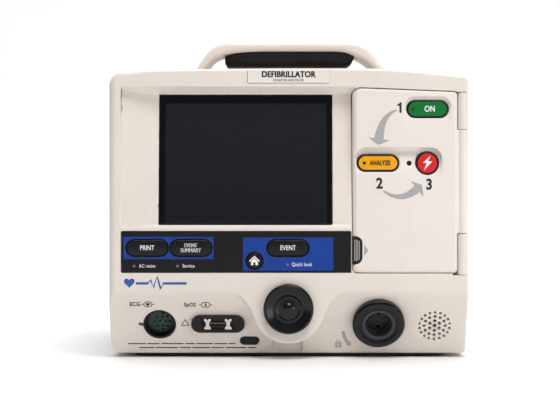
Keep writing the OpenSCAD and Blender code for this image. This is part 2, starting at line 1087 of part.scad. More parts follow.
// A spur gear's outline with straight-sided teeth, one of them on the local +X axis.
function gear_points(teeth) = [
    for (i = [0 : teeth - 1], k = [0 : 3])
        let (
            pitch = 360 / teeth,
            r = gear_module * (teeth / 2 + (k == 1 || k == 2 ? 0.9 : -1.15)),
            half = pitch * (k == 1 || k == 2 ? 0.11 : 0.29),
            a = pitch * i + (k < 2 ? -half : half)
        )
        [r * cos(a), r * sin(a)]
];

// The tub that holds the paper roll, with side plates for the roller and the motor.
module printer_chassis() {
    back_x = bay_l_x - print_wall;
    floor_z = print_z[0] + 0.4;
    color(steel)
        difference() {
            union() {
                block([-119.5, print_y[0] + 0.4, floor_z], [back_x, print_y[1] - 0.4, floor_z + print_wall]);
                block([back_x - print_wall, print_y[0] + 0.4, floor_z],
                      [back_x, print_y[1] - 0.4, print_z[1] - 0.4]);
                for (y = [print_y[0] + 0.4, print_y[0] + 57.4])
                    block([-119.5, y, floor_z], [back_x, y + print_wall, print_z[1] - 0.4]);
            }
            translate([platen_pos[0], 0, platen_pos[1]])
                rotate([-90, 0, 0])
                    cylinder(r = 2.05, h = gear_y);
        }
}

// The flap over the paper, with its lower edge rounded about the hinge and a hollow for a thumb.
module printer_door() {
    edge = 0.4;
    left = -case_w / 2;
    color(cream)
        difference() {
            union() {
                block([left, print_y[0] + edge, print_hinge[1]],
                      [left + print_door_t, print_y[1] - edge, print_z[1] - 2.2]);
                translate([print_hinge[0], print_y[0] + edge, print_hinge[1]])
                    rotate([-90, 0, 0])
                        cylinder(r = -left + print_hinge[0], h = print_y[1] - print_y[0] - 2 * edge);
                translate([print_hinge[0], print_y[0] - 1.8, print_hinge[1]])
                    rotate([-90, 0, 0])
                        cylinder(r = print_pin_r, h = 4);
                translate([print_hinge[0], print_y[1] - 2.2, print_hinge[1]])
                    rotate([-90, 0, 0])
                        cylinder(r = print_pin_r, h = 4);
            }
            translate([left - 1, (print_y[0] + print_y[1]) / 2, print_z[1] - 14])
                rotate([0, 90, 0])
                    cylinder(d = 16, h = 2.4);
        }
}

module print_head() {
    x0 = platen_pos[0] + platen_r + slip;
    z0 = platen_pos[1];
    y0 = print_y[0] + 4;
    color(dark_grey) {
        block([x0, y0, z0 - 6], [x0 + 2, y0 + 52, z0 + 7]);
        block([x0 + 2, y0 + 8, z0 - 4], [x0 + 8, y0 + 44, z0 + 4]);
    }
}

// The rubber roller that pulls the paper, on its shaft with its gear.
module platen_roller() {
    y0 = print_y[0] + 3;
    color(ink)
        translate([platen_pos[0], 0, platen_pos[1]]) {
            along_y(y0, y0 + 53)
                circle(platen_r);
            along_y(y0 - 2, gear_y)
                circle(2);
            along_y(gear_y, gear_y + gear_t)
                rotate(180)
                    polygon(gear_points(platen_teeth));
        }
}

// Distance between the two gears' axes, with a little backlash.
function gear_distance() = gear_module * (platen_teeth + motor_teeth) / 2 + 0.1;

// The pinion is in mesh with the platen's gear, on the motor's shaft.
module motor_gear() {
    color(steel)
        translate([platen_pos[0] + gear_distance(), 0, platen_pos[1]]) {
            along_y(gear_y, gear_y + gear_t)
                rotate(180 / motor_teeth)
                    polygon(gear_points(motor_teeth));
            along_y(gear_y + gear_t, gear_y + gear_t + 6)
                circle(1);
        }
}

module printer_motor() {
    y0 = gear_y + gear_t + 0.6;
    color(steel)
        translate([platen_pos[0] + gear_distance(), 0, platen_pos[1] - 0.2])
            difference() {
                along_y(y0, print_y[1] - 0.5)
                    circle(9.5);
                translate([0, y0 - 1, 0.2])
                    rotate([-90, 0, 0])
                        cylinder(r = 1.05, h = 7);
            }
}

module paper_roll() {
    y0 = print_y[0] + 5;
    color([0.95, 0.95, 0.93])
        translate([roll_pos[0], 0, roll_pos[1]])
            along_y(y0, y0 + paper_w)
                difference() {
                    circle(d = paper_d);
                    circle(6);
                }
}

// The mains inlet, with its three blades.
module ac_inlet() {
    deep = 16;
    color(ink)
        translate([inlet_pos[0], 0, inlet_pos[1]]) {
            difference() {
                along_y(y_back - deep - 8, y_back)
                    square(inlet_size, center = true);
                along_y(y_back - deep, y_back + eps)
                    polygon([[-12, -8], [12, -8], [12, 4], [8, 8], [-8, 8], [-12, 4]]);
            }
            for (at = [[0, 3], [-7, -3], [7, -3]])
                along_y(y_back - deep, y_back - 5)
                    translate(at)
                        square([2, 4], center = true);
        }
}

// The data connector, and the post for the protective earth beside it.
module rear_port() {
    color(ink)
        translate([port_pos[0], 0, port_pos[1]])
            difference() {
                along_y(y_back - 13, y_back)
                    square([41, 13], center = true);
                along_y(y_back - 6, y_back + eps)
                    square([35.6, 9], center = true);
            }
    color(steel)
        translate([port_pos[0] - 38, 0, port_pos[1]])
            along_y(y_back - 12, y_back)
                circle(3);
}

module battery_pack() {
    gap = 2;
    color(dark_grey)
        difference() {
            block([battery_x[0] + gap, battery_y + gap, battery_z[0] + gap],
                  [battery_x[1] - gap, y_back - 5, battery_z[1] - gap]);
            block([battery_x[0] + 20, y_back - 8, battery_z[0] + 18],
                  [battery_x[1] - 20, y_back, battery_z[0] + 30]);
        }
}

module battery_door() {
    color(cream)
        difference() {
            along_y(y_back - 2.3, y_back)
                plate_outline(battery_x + [-4.8, 4.8], battery_z + [-4.8, 4.8], 3);
            along_y(y_back - 1, y_back + eps)
                translate([(battery_x[0] + battery_x[1]) / 2, battery_z[1] - 6])
                    stadium([30, 8]);
        }
}

// The folded sheet-metal tray that carries the boards.
module chassis_frame() {
    low = clearance_z + wall + 2;
    color(steel) {
        difference() {
            block([-108, -58, low], [112, 51.5, low + 1.5]);
            block([-84, -14, low - 1], [84, 49, low + 3]);
        }
        block([-64, 50, low + 1.5], [112, 51.5, 150]);
        for (x = [-108, 110.5])
            block([x, -58, low + 1.5], [x + 1.5, 0, low + 20]);
    }
}

module main_board() {
    y0 = y_front + 37;
    color(board_green) {
        block([-100, y0, 60], [36, y0 + 1.6, 172]);
        for (at = [[-70, 130, 28], [-20, 130, 20], [-70, 90, 16], [-30, 90, 16], [10, 90, 16]])
            block([at[0] - at[2] / 2, y0 - 2, at[1] - at[2] / 2], [at[0] + at[2] / 2, y0, at[1] + at[2] / 2]);
        block([-95, y0 - 6, 64], [-40, y0, 72]);
    }
}

module power_supply() {
    z0 = clearance_z + wall + 6;
    color(board_green) {
        block([-56, -52, z0], [28, -16, z0 + 1.6]);
        block([-50, -46, z0 + 1.6], [-20, -20, z0 + 30]);
        block([20, -48, z0 + 1.6], [23, -20, z0 + 34]);
        for (x = [-10, 8])
            translate([x, -34, z0 + 1.6])
                cylinder(r = 7, h = 26);
    }
}

// The energy storage capacitor of the therapy circuit.
module therapy_capacitor() {
    color(steel)
        translate([-34, 10, 108])
            rotate([0, 90, 0]) {
                cylinder(r = 25, h = 92);
                translate([-8, 0, 92])
                    cylinder(r = 4, h = 6);
                translate([8, 0, 92])
                    cylinder(r = 4, h = 6);
            }
}

module case_screws() {
    color(steel)
        for (at = screw_at)
            translate([at[0], y_back - 0.4, at[1]])
                rotate([90, 0, 0])
                    difference() {
                        union() {
                            cylinder(r = screw_head_r, h = 1.8);
                            cylinder(r = screw_r, h = wall + 8);
                        }
                        translate([0, 0, -0.1])
                            cylinder(r = 1.6, h = 1.2, $fn = 6);
                    }
}

front_case();
rear_case();
base_plate();
feet();
handle_arch();
handle_grip();
nameplate();
display_window();
lcd_panel();
lcd_bracket();
keypad_panel();
keypad_board();
print_key();
event_summary_key();
event_key();
home_key();
dial_encoder();
dial_shaft();
speed_dial();
ecg_socket();
ecg_insert();
spo2_bezel();
spo2_shell();
ir_window();
therapy_socket();
therapy_insert();
therapy_ring();
speaker();
front_door();
hinge_pin();
hinge_blocks();
latch_button();
control_panel();
control_board();
on_button();
analyze_button();
shock_button();
energy_key();
charge_key();
sync_key();
lead_key();
rate_key();
current_key();
pacer_key();
printer_chassis();
printer_door();
print_head();
platen_roller();
motor_gear();
printer_motor();
paper_roll();
ac_inlet();
rear_port();
battery_pack();
battery_door();
chassis_frame();
main_board();
power_supply();
therapy_capacitor();
case_screws();
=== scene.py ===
"""Looks of the hospital defibrillator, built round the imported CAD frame.

The moulded shells are rounded solids given by distance functions, in millimetres, and turned into meshes.
Turned parts are lathed, and printing is Blender's own font or drawn outlines, made into thin solid films.
"""
import functools
import math

import bmesh
import bpy
import numpy as np
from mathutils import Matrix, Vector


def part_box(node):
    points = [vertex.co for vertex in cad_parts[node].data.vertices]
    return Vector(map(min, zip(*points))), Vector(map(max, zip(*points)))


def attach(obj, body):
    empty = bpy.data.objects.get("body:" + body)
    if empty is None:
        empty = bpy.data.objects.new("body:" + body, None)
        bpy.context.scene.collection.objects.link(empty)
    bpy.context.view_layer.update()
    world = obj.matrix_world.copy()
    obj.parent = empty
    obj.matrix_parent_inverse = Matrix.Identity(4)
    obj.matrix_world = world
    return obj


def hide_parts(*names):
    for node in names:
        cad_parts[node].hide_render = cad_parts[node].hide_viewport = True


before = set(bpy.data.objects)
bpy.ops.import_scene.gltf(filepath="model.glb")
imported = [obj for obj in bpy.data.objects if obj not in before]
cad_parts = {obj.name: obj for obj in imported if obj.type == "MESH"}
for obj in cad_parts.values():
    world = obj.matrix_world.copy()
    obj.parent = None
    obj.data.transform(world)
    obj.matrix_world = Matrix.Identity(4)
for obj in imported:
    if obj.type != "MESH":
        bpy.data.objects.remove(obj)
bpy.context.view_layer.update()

import openvdb
from mathutils import Matrix, Vector

MM = 0.001


def mm_box(node):
    """A CAD node's lowest and highest corners, in millimetres."""
    low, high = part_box(node)
    return np.array(low) / MM, np.array(high) / MM


# ---- places taken from the frame

CASE_LO, CASE_HI = mm_box("front_case")
DOOR_LO, DOOR_HI = mm_box("front_door")
WINDOW_LO, WINDOW_HI = mm_box("display_window")
KEYPAD_LO, KEYPAD_HI = mm_box("keypad_panel")
PANEL_LO, PANEL_HI = mm_box("control_panel")
DIAL_LO, DIAL_HI = mm_box("speed_dial")
ARCH_LO, ARCH_HI = mm_box("handle_arch")
GRIP_LO, GRIP_HI = mm_box("handle_grip")
PLATE_LO, PLATE_HI = mm_box("nameplate")
HINGE_LO, HINGE_HI = mm_box("hinge_blocks")

Y_FRONT = CASE_LO[1]
Y_SEAM = CASE_HI[1]
Y_BACK = mm_box("rear_case")[1][1]
HALF_W = CASE_HI[0]
TOP_Z = CASE_HI[2]
BOTTOM_Z = CASE_LO[2]
WALL = 3.0

CHIN_TOP = 47.0
CHIN_ANGLE = math.radians(25)
CHIN_COS = math.cos(CHIN_ANGLE)
CHIN_SIN = math.sin(CHIN_ANGLE)
WINDOW_TILT = math.radians(5)
DIAL_Z = (DIAL_LO[2] + DIAL_HI[2]) / 2
DIAL_R = (DIAL_HI[2] - DIAL_LO[2]) / 2

DOOR_RIGHT = DOOR_LO[0] + 74.6
DOOR_FALL = 3.0
DOOR_BACK = Y_FRONT + 8
BAY_Y = PANEL_HI[1]
HINGE = (124.2, Y_FRONT + 3.8)
KNUCKLE_R = 3.6
KNUCKLE_Z = (89.6, 163.4)

ECG = (-92.4, 24.2)
ECG_R = 11.6
SPO2 = (-50.5, 25.2)
SPO2_SIZE = (38.4, 13.2)
INFRARED = (-27.9, 11.8)
INFRARED_SIZE = (13.7, 6.6)
THERAPY = (64.5, 26.1)
TUBE_R = 12.1
SPEAKER = (105.0, 22.9)
SOCKET_DEEP = 16.0
WELL_FLOOR = 182.0
ARCH_UNDER = 221.8

ON_AT, ON_SIZE = (99, 178), (29.4, 12.0)
ANALYZE_AT, ANALYZE_SIZE = (63.7, 139.6), (29.6, 11.7)
SHOCK_AT, SHOCK_SIZE = (98.8, 139.5), (15.9, 15.9)
CHARGE_LAMP_AT = (86, 139.5)
LATCH_Z = 77.5

# ---- distance functions
# Each returns a signed distance in millimetres, negative inside the solid.

def chin_y(z):
    """Depth of the chin's surface at a height."""
    return Y_FRONT + (CHIN_TOP - z) * math.tan(CHIN_ANGLE)


def cut_round(a, b, r):
    """The part common to two solids, with their shared edge rounded to radius r."""
    u = np.maximum(a + r, 0)
    v = np.maximum(b + r, 0)
    return np.minimum(np.maximum(a, b), -r) + np.sqrt(u * u + v * v)


def common(*fields):
    """The part that several solids share, with sharp edges."""
    return functools.reduce(np.maximum, fields)


def cut_out(solid_field, tool, r=0.0):
    """A solid without the part inside a tool, with the cut's edge rounded to radius r."""
    return cut_round(solid_field, -tool, r) if r else np.maximum(solid_field, -tool)


def join_round(a, b, r):
    """Two solids together, with a fillet of radius r in the corner between them."""
    return -cut_round(-a, -b, r)


def cut_soft(a, b, k):
    """The part common to two solids that meet at a shallow angle, blended over k."""
    h = np.maximum(k - np.abs(a - b), 0) / k
    return np.maximum(a, b) + h * h * k / 4


def less_soft(a, b, k):
    """The smaller of two fields, blended over k."""
    return -cut_soft(-a, -b, k)


def rect(u, v, low, high, r=0.0):
    """A rectangle with corners of radius r."""
    du = np.abs(u - (low[0] + high[0]) / 2) - (high[0] - low[0]) / 2 + r
    dv = np.abs(v - (low[1] + high[1]) / 2) - (high[1] - low[1]) / 2 + r
    outside = np.sqrt(np.maximum(du, 0) ** 2 + np.maximum(dv, 0) ** 2)
    return outside + np.minimum(np.maximum(du, dv), 0) - r


def centred_rect(u, v, half, r=0.0):
    """A rectangle round the origin, given by half its width and height."""
    return rect(u, v, (-half[0], -half[1]), half, r)


def disc(u, v, r):
    """A circle round the origin."""
    return np.sqrt(u * u + v * v) - r


def pill(u, v, size):
    """A shape with half-round ends, centred on the origin."""
    return centred_rect(u, v, (size[0] / 2, size[1] / 2), size[1] / 2)


def grown(size, by):
    """A width and a height, both larger by the same amount."""
    return size[0] + by, size[1] + by


def slab(w, low, high):
    """Everything between two planes."""
    return np.maximum(low - w, w - high)


def half_plane(u, v, p, q):
    """Distance to the left of the line from p to q; a solid lies on the line's right."""
    du, dv = q[0] - p[0], q[1] - p[1]
    return ((v - p[1]) * du - (u - p[0]) * dv) / math.hypot(du, dv)


def chin_frame(pos, x, y, z):
    """Coordinates across, up and out of the chin's surface at a point on it."""
    dy = y - chin_y(pos[1])
    dz = z - pos[1]
    return x - pos[0], -dy * CHIN_SIN + dz * CHIN_COS, -dy * CHIN_COS - dz * CHIN_SIN


# ---- from fields to meshes

def graded(low, high, step, *fine):
    """Sample places from low to high, a step apart, or closer in each fine (from, to, step)."""
    places = [low]
    while places[-1] < high:
        at = places[-1]
        gap = min([step] + [s for a, b, s in fine if a <= at + 1e-6 and at < b])
        starts = [a for a, b, s in fine if at + 1e-6 < a < at + gap]
        places.append(starts[0] if starts else at + gap)
    return np.array(places)


def slope_at(field, p, h=0.02):
    """A field's value and gradient at points."""
    value = field(p[:, 0], p[:, 1], p[:, 2])
    slope = np.empty_like(p)
    for i in range(3):
        ahead, behind = p.copy(), p.copy()
        ahead[:, i] += h
        behind[:, i] -= h
        slope[:, i] = (field(*ahead.T) - field(*behind.T)) / (2 * h)
    return value, slope


def solid(name, field, xs, ys, zs, adaptivity=0.01):
    """A mesh of the surface where a field is zero, with its points moved onto it and its true normals."""
    values = np.empty((len(xs), len(ys), len(zs)), np.float32)
    for start in range(0, len(xs), 16):
        part = slice(start, start + 16)
        values[part] = field(*np.meshgrid(xs[part], ys, zs, indexing="ij"))
    reach = 4.0
    grid = openvdb.FloatGrid(reach)
    grid.copyFromArray(np.clip(values, -reach, reach))
    points, triangles, quads = grid.convertToPolygons(isovalue=0.0, adaptivity=adaptivity)
    p = np.stack([np.interp(points[:, i], np.arange(len(a)), a) for i, a in enumerate((xs, ys, zs))], 1)
    limit = 0.5 * min(np.diff(a).max() for a in (xs, ys, zs))
    for _ in range(4):
        value, slope = slope_at(field, p)
        move = np.clip(value / np.maximum((slope ** 2).sum(1), 0.3), -limit, limit)
        p -= move[:, None] * slope
    _, slope = slope_at(field, p)
    normals = slope / np.maximum(np.linalg.norm(slope, axis=1), 1e-6)[:, None]
    faces = quads.tolist() + triangles.tolist()
    mesh = bpy.data.meshes.new(name)
    mesh.from_pydata((p * MM).tolist(), [], faces)
    mesh.shade_smooth()
    mesh.normals_split_custom_set_from_vertices(normals.tolist())
    return new_piece(name, mesh)


def new_piece(name, data):
    """A new object in the scene, for a mesh, a curve, a lamp or a camera."""
    piece = bpy.data.objects.new(name, data)
    bpy.context.scene.collection.objects.link(piece)
    return piece


def around(low, high, step, margin=1.0):
    """Even sample places that cover a range and a little more."""
    return graded(low - margin, high + margin, step)


def front_place(y, at=(0, 0)):
    """A frame that faces forward at a depth and a place: X to the right, Y up and Z out, in millimetres."""
    return Matrix(((1, 0, 0, at[0]), (0, 0, -1, y), (0, 1, 0, at[1]), (0, 0, 0, 1)))


def chin_place(pos, out=0.0):
    """The same frame on the chin's slope."""
    turn = Matrix(((1, 0, 0), (0, -CHIN_SIN, -CHIN_COS), (0, CHIN_COS, -CHIN_SIN))).to_4x4()
    normal = Vector((0, -CHIN_COS, -CHIN_SIN))
    return Matrix.Translation(Vector((pos[0], chin_y(pos[1]), pos[1])) + normal * out) @ turn


def arc(centre, r, start, end, steps=8):
    """Points along a circle's arc, in degrees."""
    turn = np.radians(np.linspace(start, end, steps + 1))
    return [(centre[0] + r * math.cos(a), centre[1] + r * math.sin(a)) for a in turn]


def pill_points(centre, size, steps=12):
    """Outline of a shape with half-round ends."""
    r = size[1] / 2
    reach = size[0] / 2 - r
    right = arc((centre[0] + reach, centre[1]), r, -90, 90, steps)
    return right + arc((centre[0] - reach, centre[1]), r, 90, 270, steps)


def rect_points(low, high, r, steps=6):
    """Outline of a rectangle with round corners."""
    corners = ((high[0] - r, low[1] + r, -90), (high[0] - r, high[1] - r, 0),
               (low[0] + r, high[1] - r, 90), (low[0] + r, low[1] + r, 180))
    return [p for x, y, a in corners for p in arc((x, y), r, a, a + 90, steps)]


def circle_points(centre, r, steps=32):
    """Outline of a circle."""
    return arc(centre, r, 0, 360, steps)[:-1]


def mesh_of(data):
    """The mesh that a curve or a text makes, in millimetres."""
    maker = new_piece("maker", data)
    mesh = bpy.data.meshes.new_from_object(maker.evaluated_get(bpy.context.evaluated_depsgraph_get()))
    bpy.data.objects.remove(maker)
    bpy.data.curves.remove(data)
    return mesh


def film(loops, thick, bevel=0.0):
    """A flat plate with the given outlines; an outline inside another is a hole."""
    curve = bpy.data.curves.new("film", "CURVE")
    curve.dimensions = "2D"
    curve.fill_mode = "BOTH"
    curve.extrude = thick / 2 - bevel
    curve.bevel_depth = bevel
    curve.offset = -bevel
    curve.bevel_resolution = 2
    for loop in loops:
        spline = curve.splines.new("POLY")
        spline.points.add(len(loop) - 1)
        for point, at in zip(spline.points, loop):
            point.co = (at[0], at[1], 0, 1)
        spline.use_cyclic_u = True
    return mesh_of(curve)


INK = 0.12


def words(text, cap, at, squeeze=0.8, weight=0.0, align="CENTER", lean=0.0):
    """A thin solid of a text whose capitals are cap millimetres high, centred in height on a point."""
    curve = bpy.data.curves.new("words", "FONT")
    curve.body = text
    curve.size = cap / 0.73
    curve.extrude = INK / 2
    curve.offset = weight
    curve.align_x = align
    curve.align_y = "CENTER"
    curve.space_line = 0.86
    curve.space_character = 1 + 1.5 * weight / cap
    curve.shear = lean
    mesh = mesh_of(curve)
    mesh.transform(Matrix.Translation((at[0], at[1], 0)) @ Matrix.Diagonal((squeeze, 1, 1, 1)))
    return mesh


def shape(*loops):
    """A thin solid of one or more outlines."""
    return film(loops, INK)


def taken(bm, name):
    """The mesh that bmesh has made."""
    mesh = bpy.data.meshes.new(name)
    bm.to_mesh(mesh)
    bm.free()
    return mesh


def assembled(name, parts, place=Matrix.Identity(4)):
    """One object made of several meshes in millimetres, put on a frame."""
    bm = bmesh.new()
    for part in parts:
        bm.from_mesh(part)
        bpy.data.meshes.remove(part)
    bmesh.ops.remove_doubles(bm, verts=bm.verts, dist=1e-4)
    mesh = taken(bm, name)
    mesh.transform(Matrix.Scale(MM, 4) @ place)
    return new_piece(name, mesh)


def lathed(name, verts, faces, place):
    """An object of a lathe's points and faces in millimetres, put on a frame, with its sharp rims kept."""
    mesh = bpy.data.meshes.new(name)
    mesh.from_pydata(verts, [], faces)
    bm = bmesh.new()
    bm.from_mesh(mesh)
    bmesh.ops.recalc_face_normals(bm, faces=bm.faces)
    bm.to_mesh(mesh)
    bm.free()
    mesh.transform(Matrix.Scale(MM, 4) @ place)
    mesh.shade_smooth()
    mesh.set_sharp_from_angle(angle=math.radians(50))
    return new_piece(name, mesh)


def turned(name, profile, place, steps=96):
    """A closed solid turned round the frame's Z from (radius, height) points on its axis at both ends."""
    turn = 2 * math.pi * np.arange(steps) / steps
    verts, rings = [], []
    for r, h in profile:
        if r < 1e-6:
            rings.append([len(verts)] * steps)
            verts.append((0, 0, h))
        else:
            rings.append(list(range(len(verts), len(verts) + steps)))
            verts.extend((r * math.cos(a), r * math.sin(a), h) for a in turn)
    faces = []
    for low, high in zip(rings, rings[1:]):
        for i in range(steps):
            j = (i + 1) % steps
            face = [low[i], low[j], high[j], high[i]]
            faces.append(list(dict.fromkeys(face)))
    return lathed(name, verts, [f for f in faces if len(f) > 2], place)


def lathed_ring(name, profile, place, steps):
    """A ring turned round the frame's Z from a closed loop of (radius, height) points."""
    turn = 2 * math.pi * np.arange(steps) / steps
    count = len(profile)
    verts = [(r * math.cos(a), r * math.sin(a), h) for a in turn for r, h in profile]
    faces = []
    for i in range(steps):
        here, on = i * count, (i + 1) % steps * count
        faces += [(here + j, here + (j + 1) % count, on + (j + 1) % count, on + j) for j in range(count)]
    return lathed(name, verts, faces, place)


def rounded(profile, steps=5):
    """Points of a profile given as (radius, height, corner radius), with each corner made an arc."""
    made = []
    for i, (r, h, c) in enumerate(profile):
        if c <= 0 or i in (0, len(profile) - 1):
            made.append((r, h))
            continue
        here = np.array((r, h))
        back = np.array(profile[i - 1][:2]) - here
        on = np.array(profile[i + 1][:2]) - here
        back /= np.linalg.norm(back)
        on /= np.linalg.norm(on)
        half = math.acos(np.clip(back @ on, -1, 1)) / 2
        reach = c / math.tan(half)
        start, end = here + back * reach, here + on * reach
        centre = here + (back + on) / np.linalg.norm(back + on) * c / math.sin(half)
        for t in np.linspace(0, 1, steps + 1):
            way = (start - centre) * (1 - t) + (end - centre) * t
            made.append(tuple(centre + way / np.linalg.norm(way) * c))
    return made


def dress(piece, body, finish, slot, *nodes):
    """Puts a piece on a body with its material, and hides the CAD nodes that it stands for. The slot is not
    used.
    """
    piece.data.materials.clear()
    piece.data.materials.append(finish)
    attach(piece, body)
    if nodes:
        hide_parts(*nodes)
    return piece


# ---- materials

def noise(nodes, links, coords, scale, detail=3.0, stretch=None):
    """Noise that repeats about every 1/scale millimetres."""
    if stretch:
        mapping = nodes.new("ShaderNodeMapping")
        mapping.inputs["Scale"].default_value = stretch
        links.new(coords, mapping.inputs["Vector"])
        coords = mapping.outputs["Vector"]
    made = nodes.new("ShaderNodeTexNoise")
    made.inputs["Scale"].default_value = scale / MM
    made.inputs["Detail"].default_value = detail
    links.new(coords, made.inputs["Vector"])
    return made.outputs["Fac"]


def ranged(nodes, links, value, low, high, to_low, to_high):
    """A value carried from one range to another, held at the ends."""
    made = nodes.new("ShaderNodeMapRange")
    for key, at in zip(("From Min", "From Max", "To Min", "To Max"), (low, high, to_low, to_high)):
        made.inputs[key].default_value = at
    links.new(value, made.inputs["Value"])
    return made.outputs["Result"]


def mixed(nodes, links, factor, a, b):
    """Colour a where the factor is 0, and b where it is 1."""
    made = nodes.new("ShaderNodeMix")
    made.data_type = "RGBA"
    links.new(factor, made.inputs["Factor"])
    for key, colour in (("A", a), ("B", b)):
        socket = [s for s in made.inputs if s.name == key and s.type == "RGBA"][0]
        if isinstance(colour, tuple):
            socket.default_value = (*colour, 1)
        else:
            links.new(colour, socket)
    return [s for s in made.outputs if s.type == "RGBA"][0]


def shade(colour, by):
    """A colour made lighter or darker."""
    return tuple(min(1.0, c * by) for c in colour)


def linear(*srgb):
    """A colour given as it looks on a screen, from 0 to 255, as the shader needs it."""
    return tuple((c / 255 / 12.92) if c < 10.3 else ((c / 255 + 0.055) / 1.055) ** 2.4 for c in srgb)


def finish(name, colour, rough=0.4, vary=0.04, blotch=30.0, grain=0.5, depth=0.02, scuff=0.0,
           metallic=0.0, coat=0.0, brushed=None, speck=None, shine=0.5):
    """A procedural finish in a colour given as it looks on a screen, from 0 to 255.

    vary is how much the colour drifts over patches of blotch millimetres; grain is the size of the
    surface's texture and depth its height, in millimetres; scuff is the share of fine wear marks.
    """
    material = bpy.data.materials.new(name)
    material.use_nodes = True
    nodes, links = material.node_tree.nodes, material.node_tree.links
    shader = nodes["Principled BSDF"]
    for key, amount in (("Metallic", metallic), ("Coat Weight", coat), ("Coat Roughness", 0.06),
                        ("Specular IOR Level", shine)):
        shader.inputs[key].default_value = amount
    colour = linear(*colour)
    coords = nodes.new("ShaderNodeTexCoord").outputs["Object"]
    patches = noise(nodes, links, coords, 1 / blotch, 4)
    tint = mixed(nodes, links, ranged(nodes, links, patches, 0.3, 0.7, 0, 1),
                 shade(colour, 1 - vary), shade(colour, 1 + vary))
    fine = noise(nodes, links, coords, 1 / grain, 2, brushed)
    if speck:
        spots = noise(nodes, links, coords, 1 / (grain * 1.7), 1)
        tint = mixed(nodes, links, ranged(nodes, links, spots, 0.6, 0.7, 0, 1), tint, linear(*speck))
    roughness = ranged(nodes, links, fine, 0.3, 0.7, rough - 0.05, rough + 0.06)
    if scuff:
        marks = noise(nodes, links, coords, 0.22, 6, (1.0, 1.0, 0.12))
        worn = ranged(nodes, links, marks, 0.62, 0.7, 0, scuff)
        tint = mixed(nodes, links, worn, tint, shade(colour, 0.8 if sum(colour) > 1.2 else 2.2))
    links.new(tint, shader.inputs["Base Color"])
    links.new(roughness, shader.inputs["Roughness"])
    bump = nodes.new("ShaderNodeBump")
    bump.inputs["Distance"].default_value = depth * MM
    links.new(fine, bump.inputs["Height"])
    links.new(bump.outputs["Normal"], shader.inputs["Normal"])
    return material


CASE_FINISH = finish("moulded_case", (231, 221, 212), 0.42, 0.02, 45, 0.8, 0.05, scuff=0.12)
DOOR_FINISH = finish("moulded_door", (235, 226, 219), 0.4, 0.02, 45, 0.8, 0.05, scuff=0.1)
RUBBER = finish("grip_rubber", (20, 18, 21), 0.62, 0.12, 12, 0.6, 0.09, scuff=0.15, shine=0.25)
BLACK = finish("black_moulding", (16, 15, 18), 0.36, 0.12, 14, 0.5, 0.04, scuff=0.12, shine=0.3)
GREY = finish("grey_moulding", (62, 62, 68), 0.45, 0.06, 14, 0.5, 0.04, scuff=0.1, shine=0.3)
DIAL_GLOSS = finish("dial_gloss", (6, 6, 9), 0.2, 0.15, 9, 2.0, 0.01, scuff=0.05, coat=0.12, shine=0.3)
DARK_STEEL = finish("dark_steel", (84, 80, 80), 0.35, 0.08, 6, 0.4, 0.02, metallic=1.0)
STEEL = finish("brushed_steel", (178, 178, 180), 0.3, 0.06, 8, 0.35, 0.02, metallic=1.0,
               brushed=(1, 1, 0.06))
CHROME = finish("bright_clip", (214, 212, 210), 0.17, 0.05, 6, 0.5, 0.01, metallic=1.0)


# ---- the case

def case_outline(x, z):
    """Outline of the case from the front. The top is flat in the middle and falls to both sides."""
    left_fall = (z - TOP_Z) + (-70 - x) * 0.035
    right_fall = (z - TOP_Z) + (x - 73) * 0.104
    top = cut_soft(cut_soft(z - TOP_Z, left_fall, 2.5), right_fall, 2.5)
    top_r = np.where(x < 0, 10.0, 3.5)
    low_r = np.where(x < 0, 8.0, 3.0)
    return cut_round(cut_round(np.abs(x) - HALF_W, top, top_r), BOTTOM_Z - z, low_r)


def tongue_outline(x, z):
    """Outline of the flush tongue that carries the speed dial."""
    round_end = disc(x, z - DIAL_Z - 1.5, 26.5)
    shoulder = common(slab(z, CHIN_TOP, CHIN_TOP + 20), np.abs(x) - 60)
    return join_round(round_end, shoulder, 19.0)


def window_face(z):
    """Depth of the display's tilted face at a height."""
    return WINDOW_LO[1] + (z - WINDOW_LO[2]) * math.tan(WINDOW_TILT)


def window_frame(x, y, z):
    """Coordinates across, behind and up the display from its middle and its lower front edge."""
    dy = y - WINDOW_LO[1]
    dz = z - WINDOW_LO[2]
    across = x - (WINDOW_LO[0] + WINDOW_HI[0]) / 2
    return across, dy * math.cos(WINDOW_TILT) - dz * math.sin(WINDOW_TILT), \
        dy * math.sin(WINDOW_TILT) + dz * math.cos(WINDOW_TILT)


def display_surround(x, z):
    """Depth in Y of the dished surround, which slopes in to the display from all sides."""
    left = less_soft((x + 119.6) / 1.2, 0.5 + (x + 119) / 50, 0.15)
    right = (47.5 - x) / 0.8
    top = (194 - z) / 4.6
    low = (z - 94) / 1.6
    rise = less_soft(less_soft(left, right, 0.1), less_soft(top, low, 0.15), 0.15)
    return Y_FRONT + np.maximum(window_face(z) - 0.15 - Y_FRONT, 1.2) * np.clip(rise, -1.2, 1.0)


def door_line(x, z, grow, r):
    """The door's outline; its top falls towards the hinge and its upper left corner is the roundest."""
    top = (z - DOOR_HI[2]) + (x - DOOR_LO[0]) * DOOR_FALL / (DOOR_RIGHT - DOOR_LO[0])
    across = slab(x, DOOR_LO[0], DOOR_RIGHT)
    corner = np.where(x < (DOOR_LO[0] + DOOR_RIGHT) / 2, r + 3.0, r)
    upper = cut_round(across, top, np.where(z > 130, corner, r))
    return cut_round(upper, DOOR_LO[2] - z, r) - grow


def finger_well(x, y, z):
    """The hollow under the handle, behind the front bezel; its floor rises to the back."""
    ramp = ((y + 58) * 19 - (z - WELL_FLOOR) * 22) / math.hypot(19, 22)
    well = cut_round(cut_round(Y_FRONT + 27 - y, WELL_FLOOR - z, 6.0), ramp, 4.0)
    return cut_round(well, slab(x, -57.5, 59.5), 5.0)


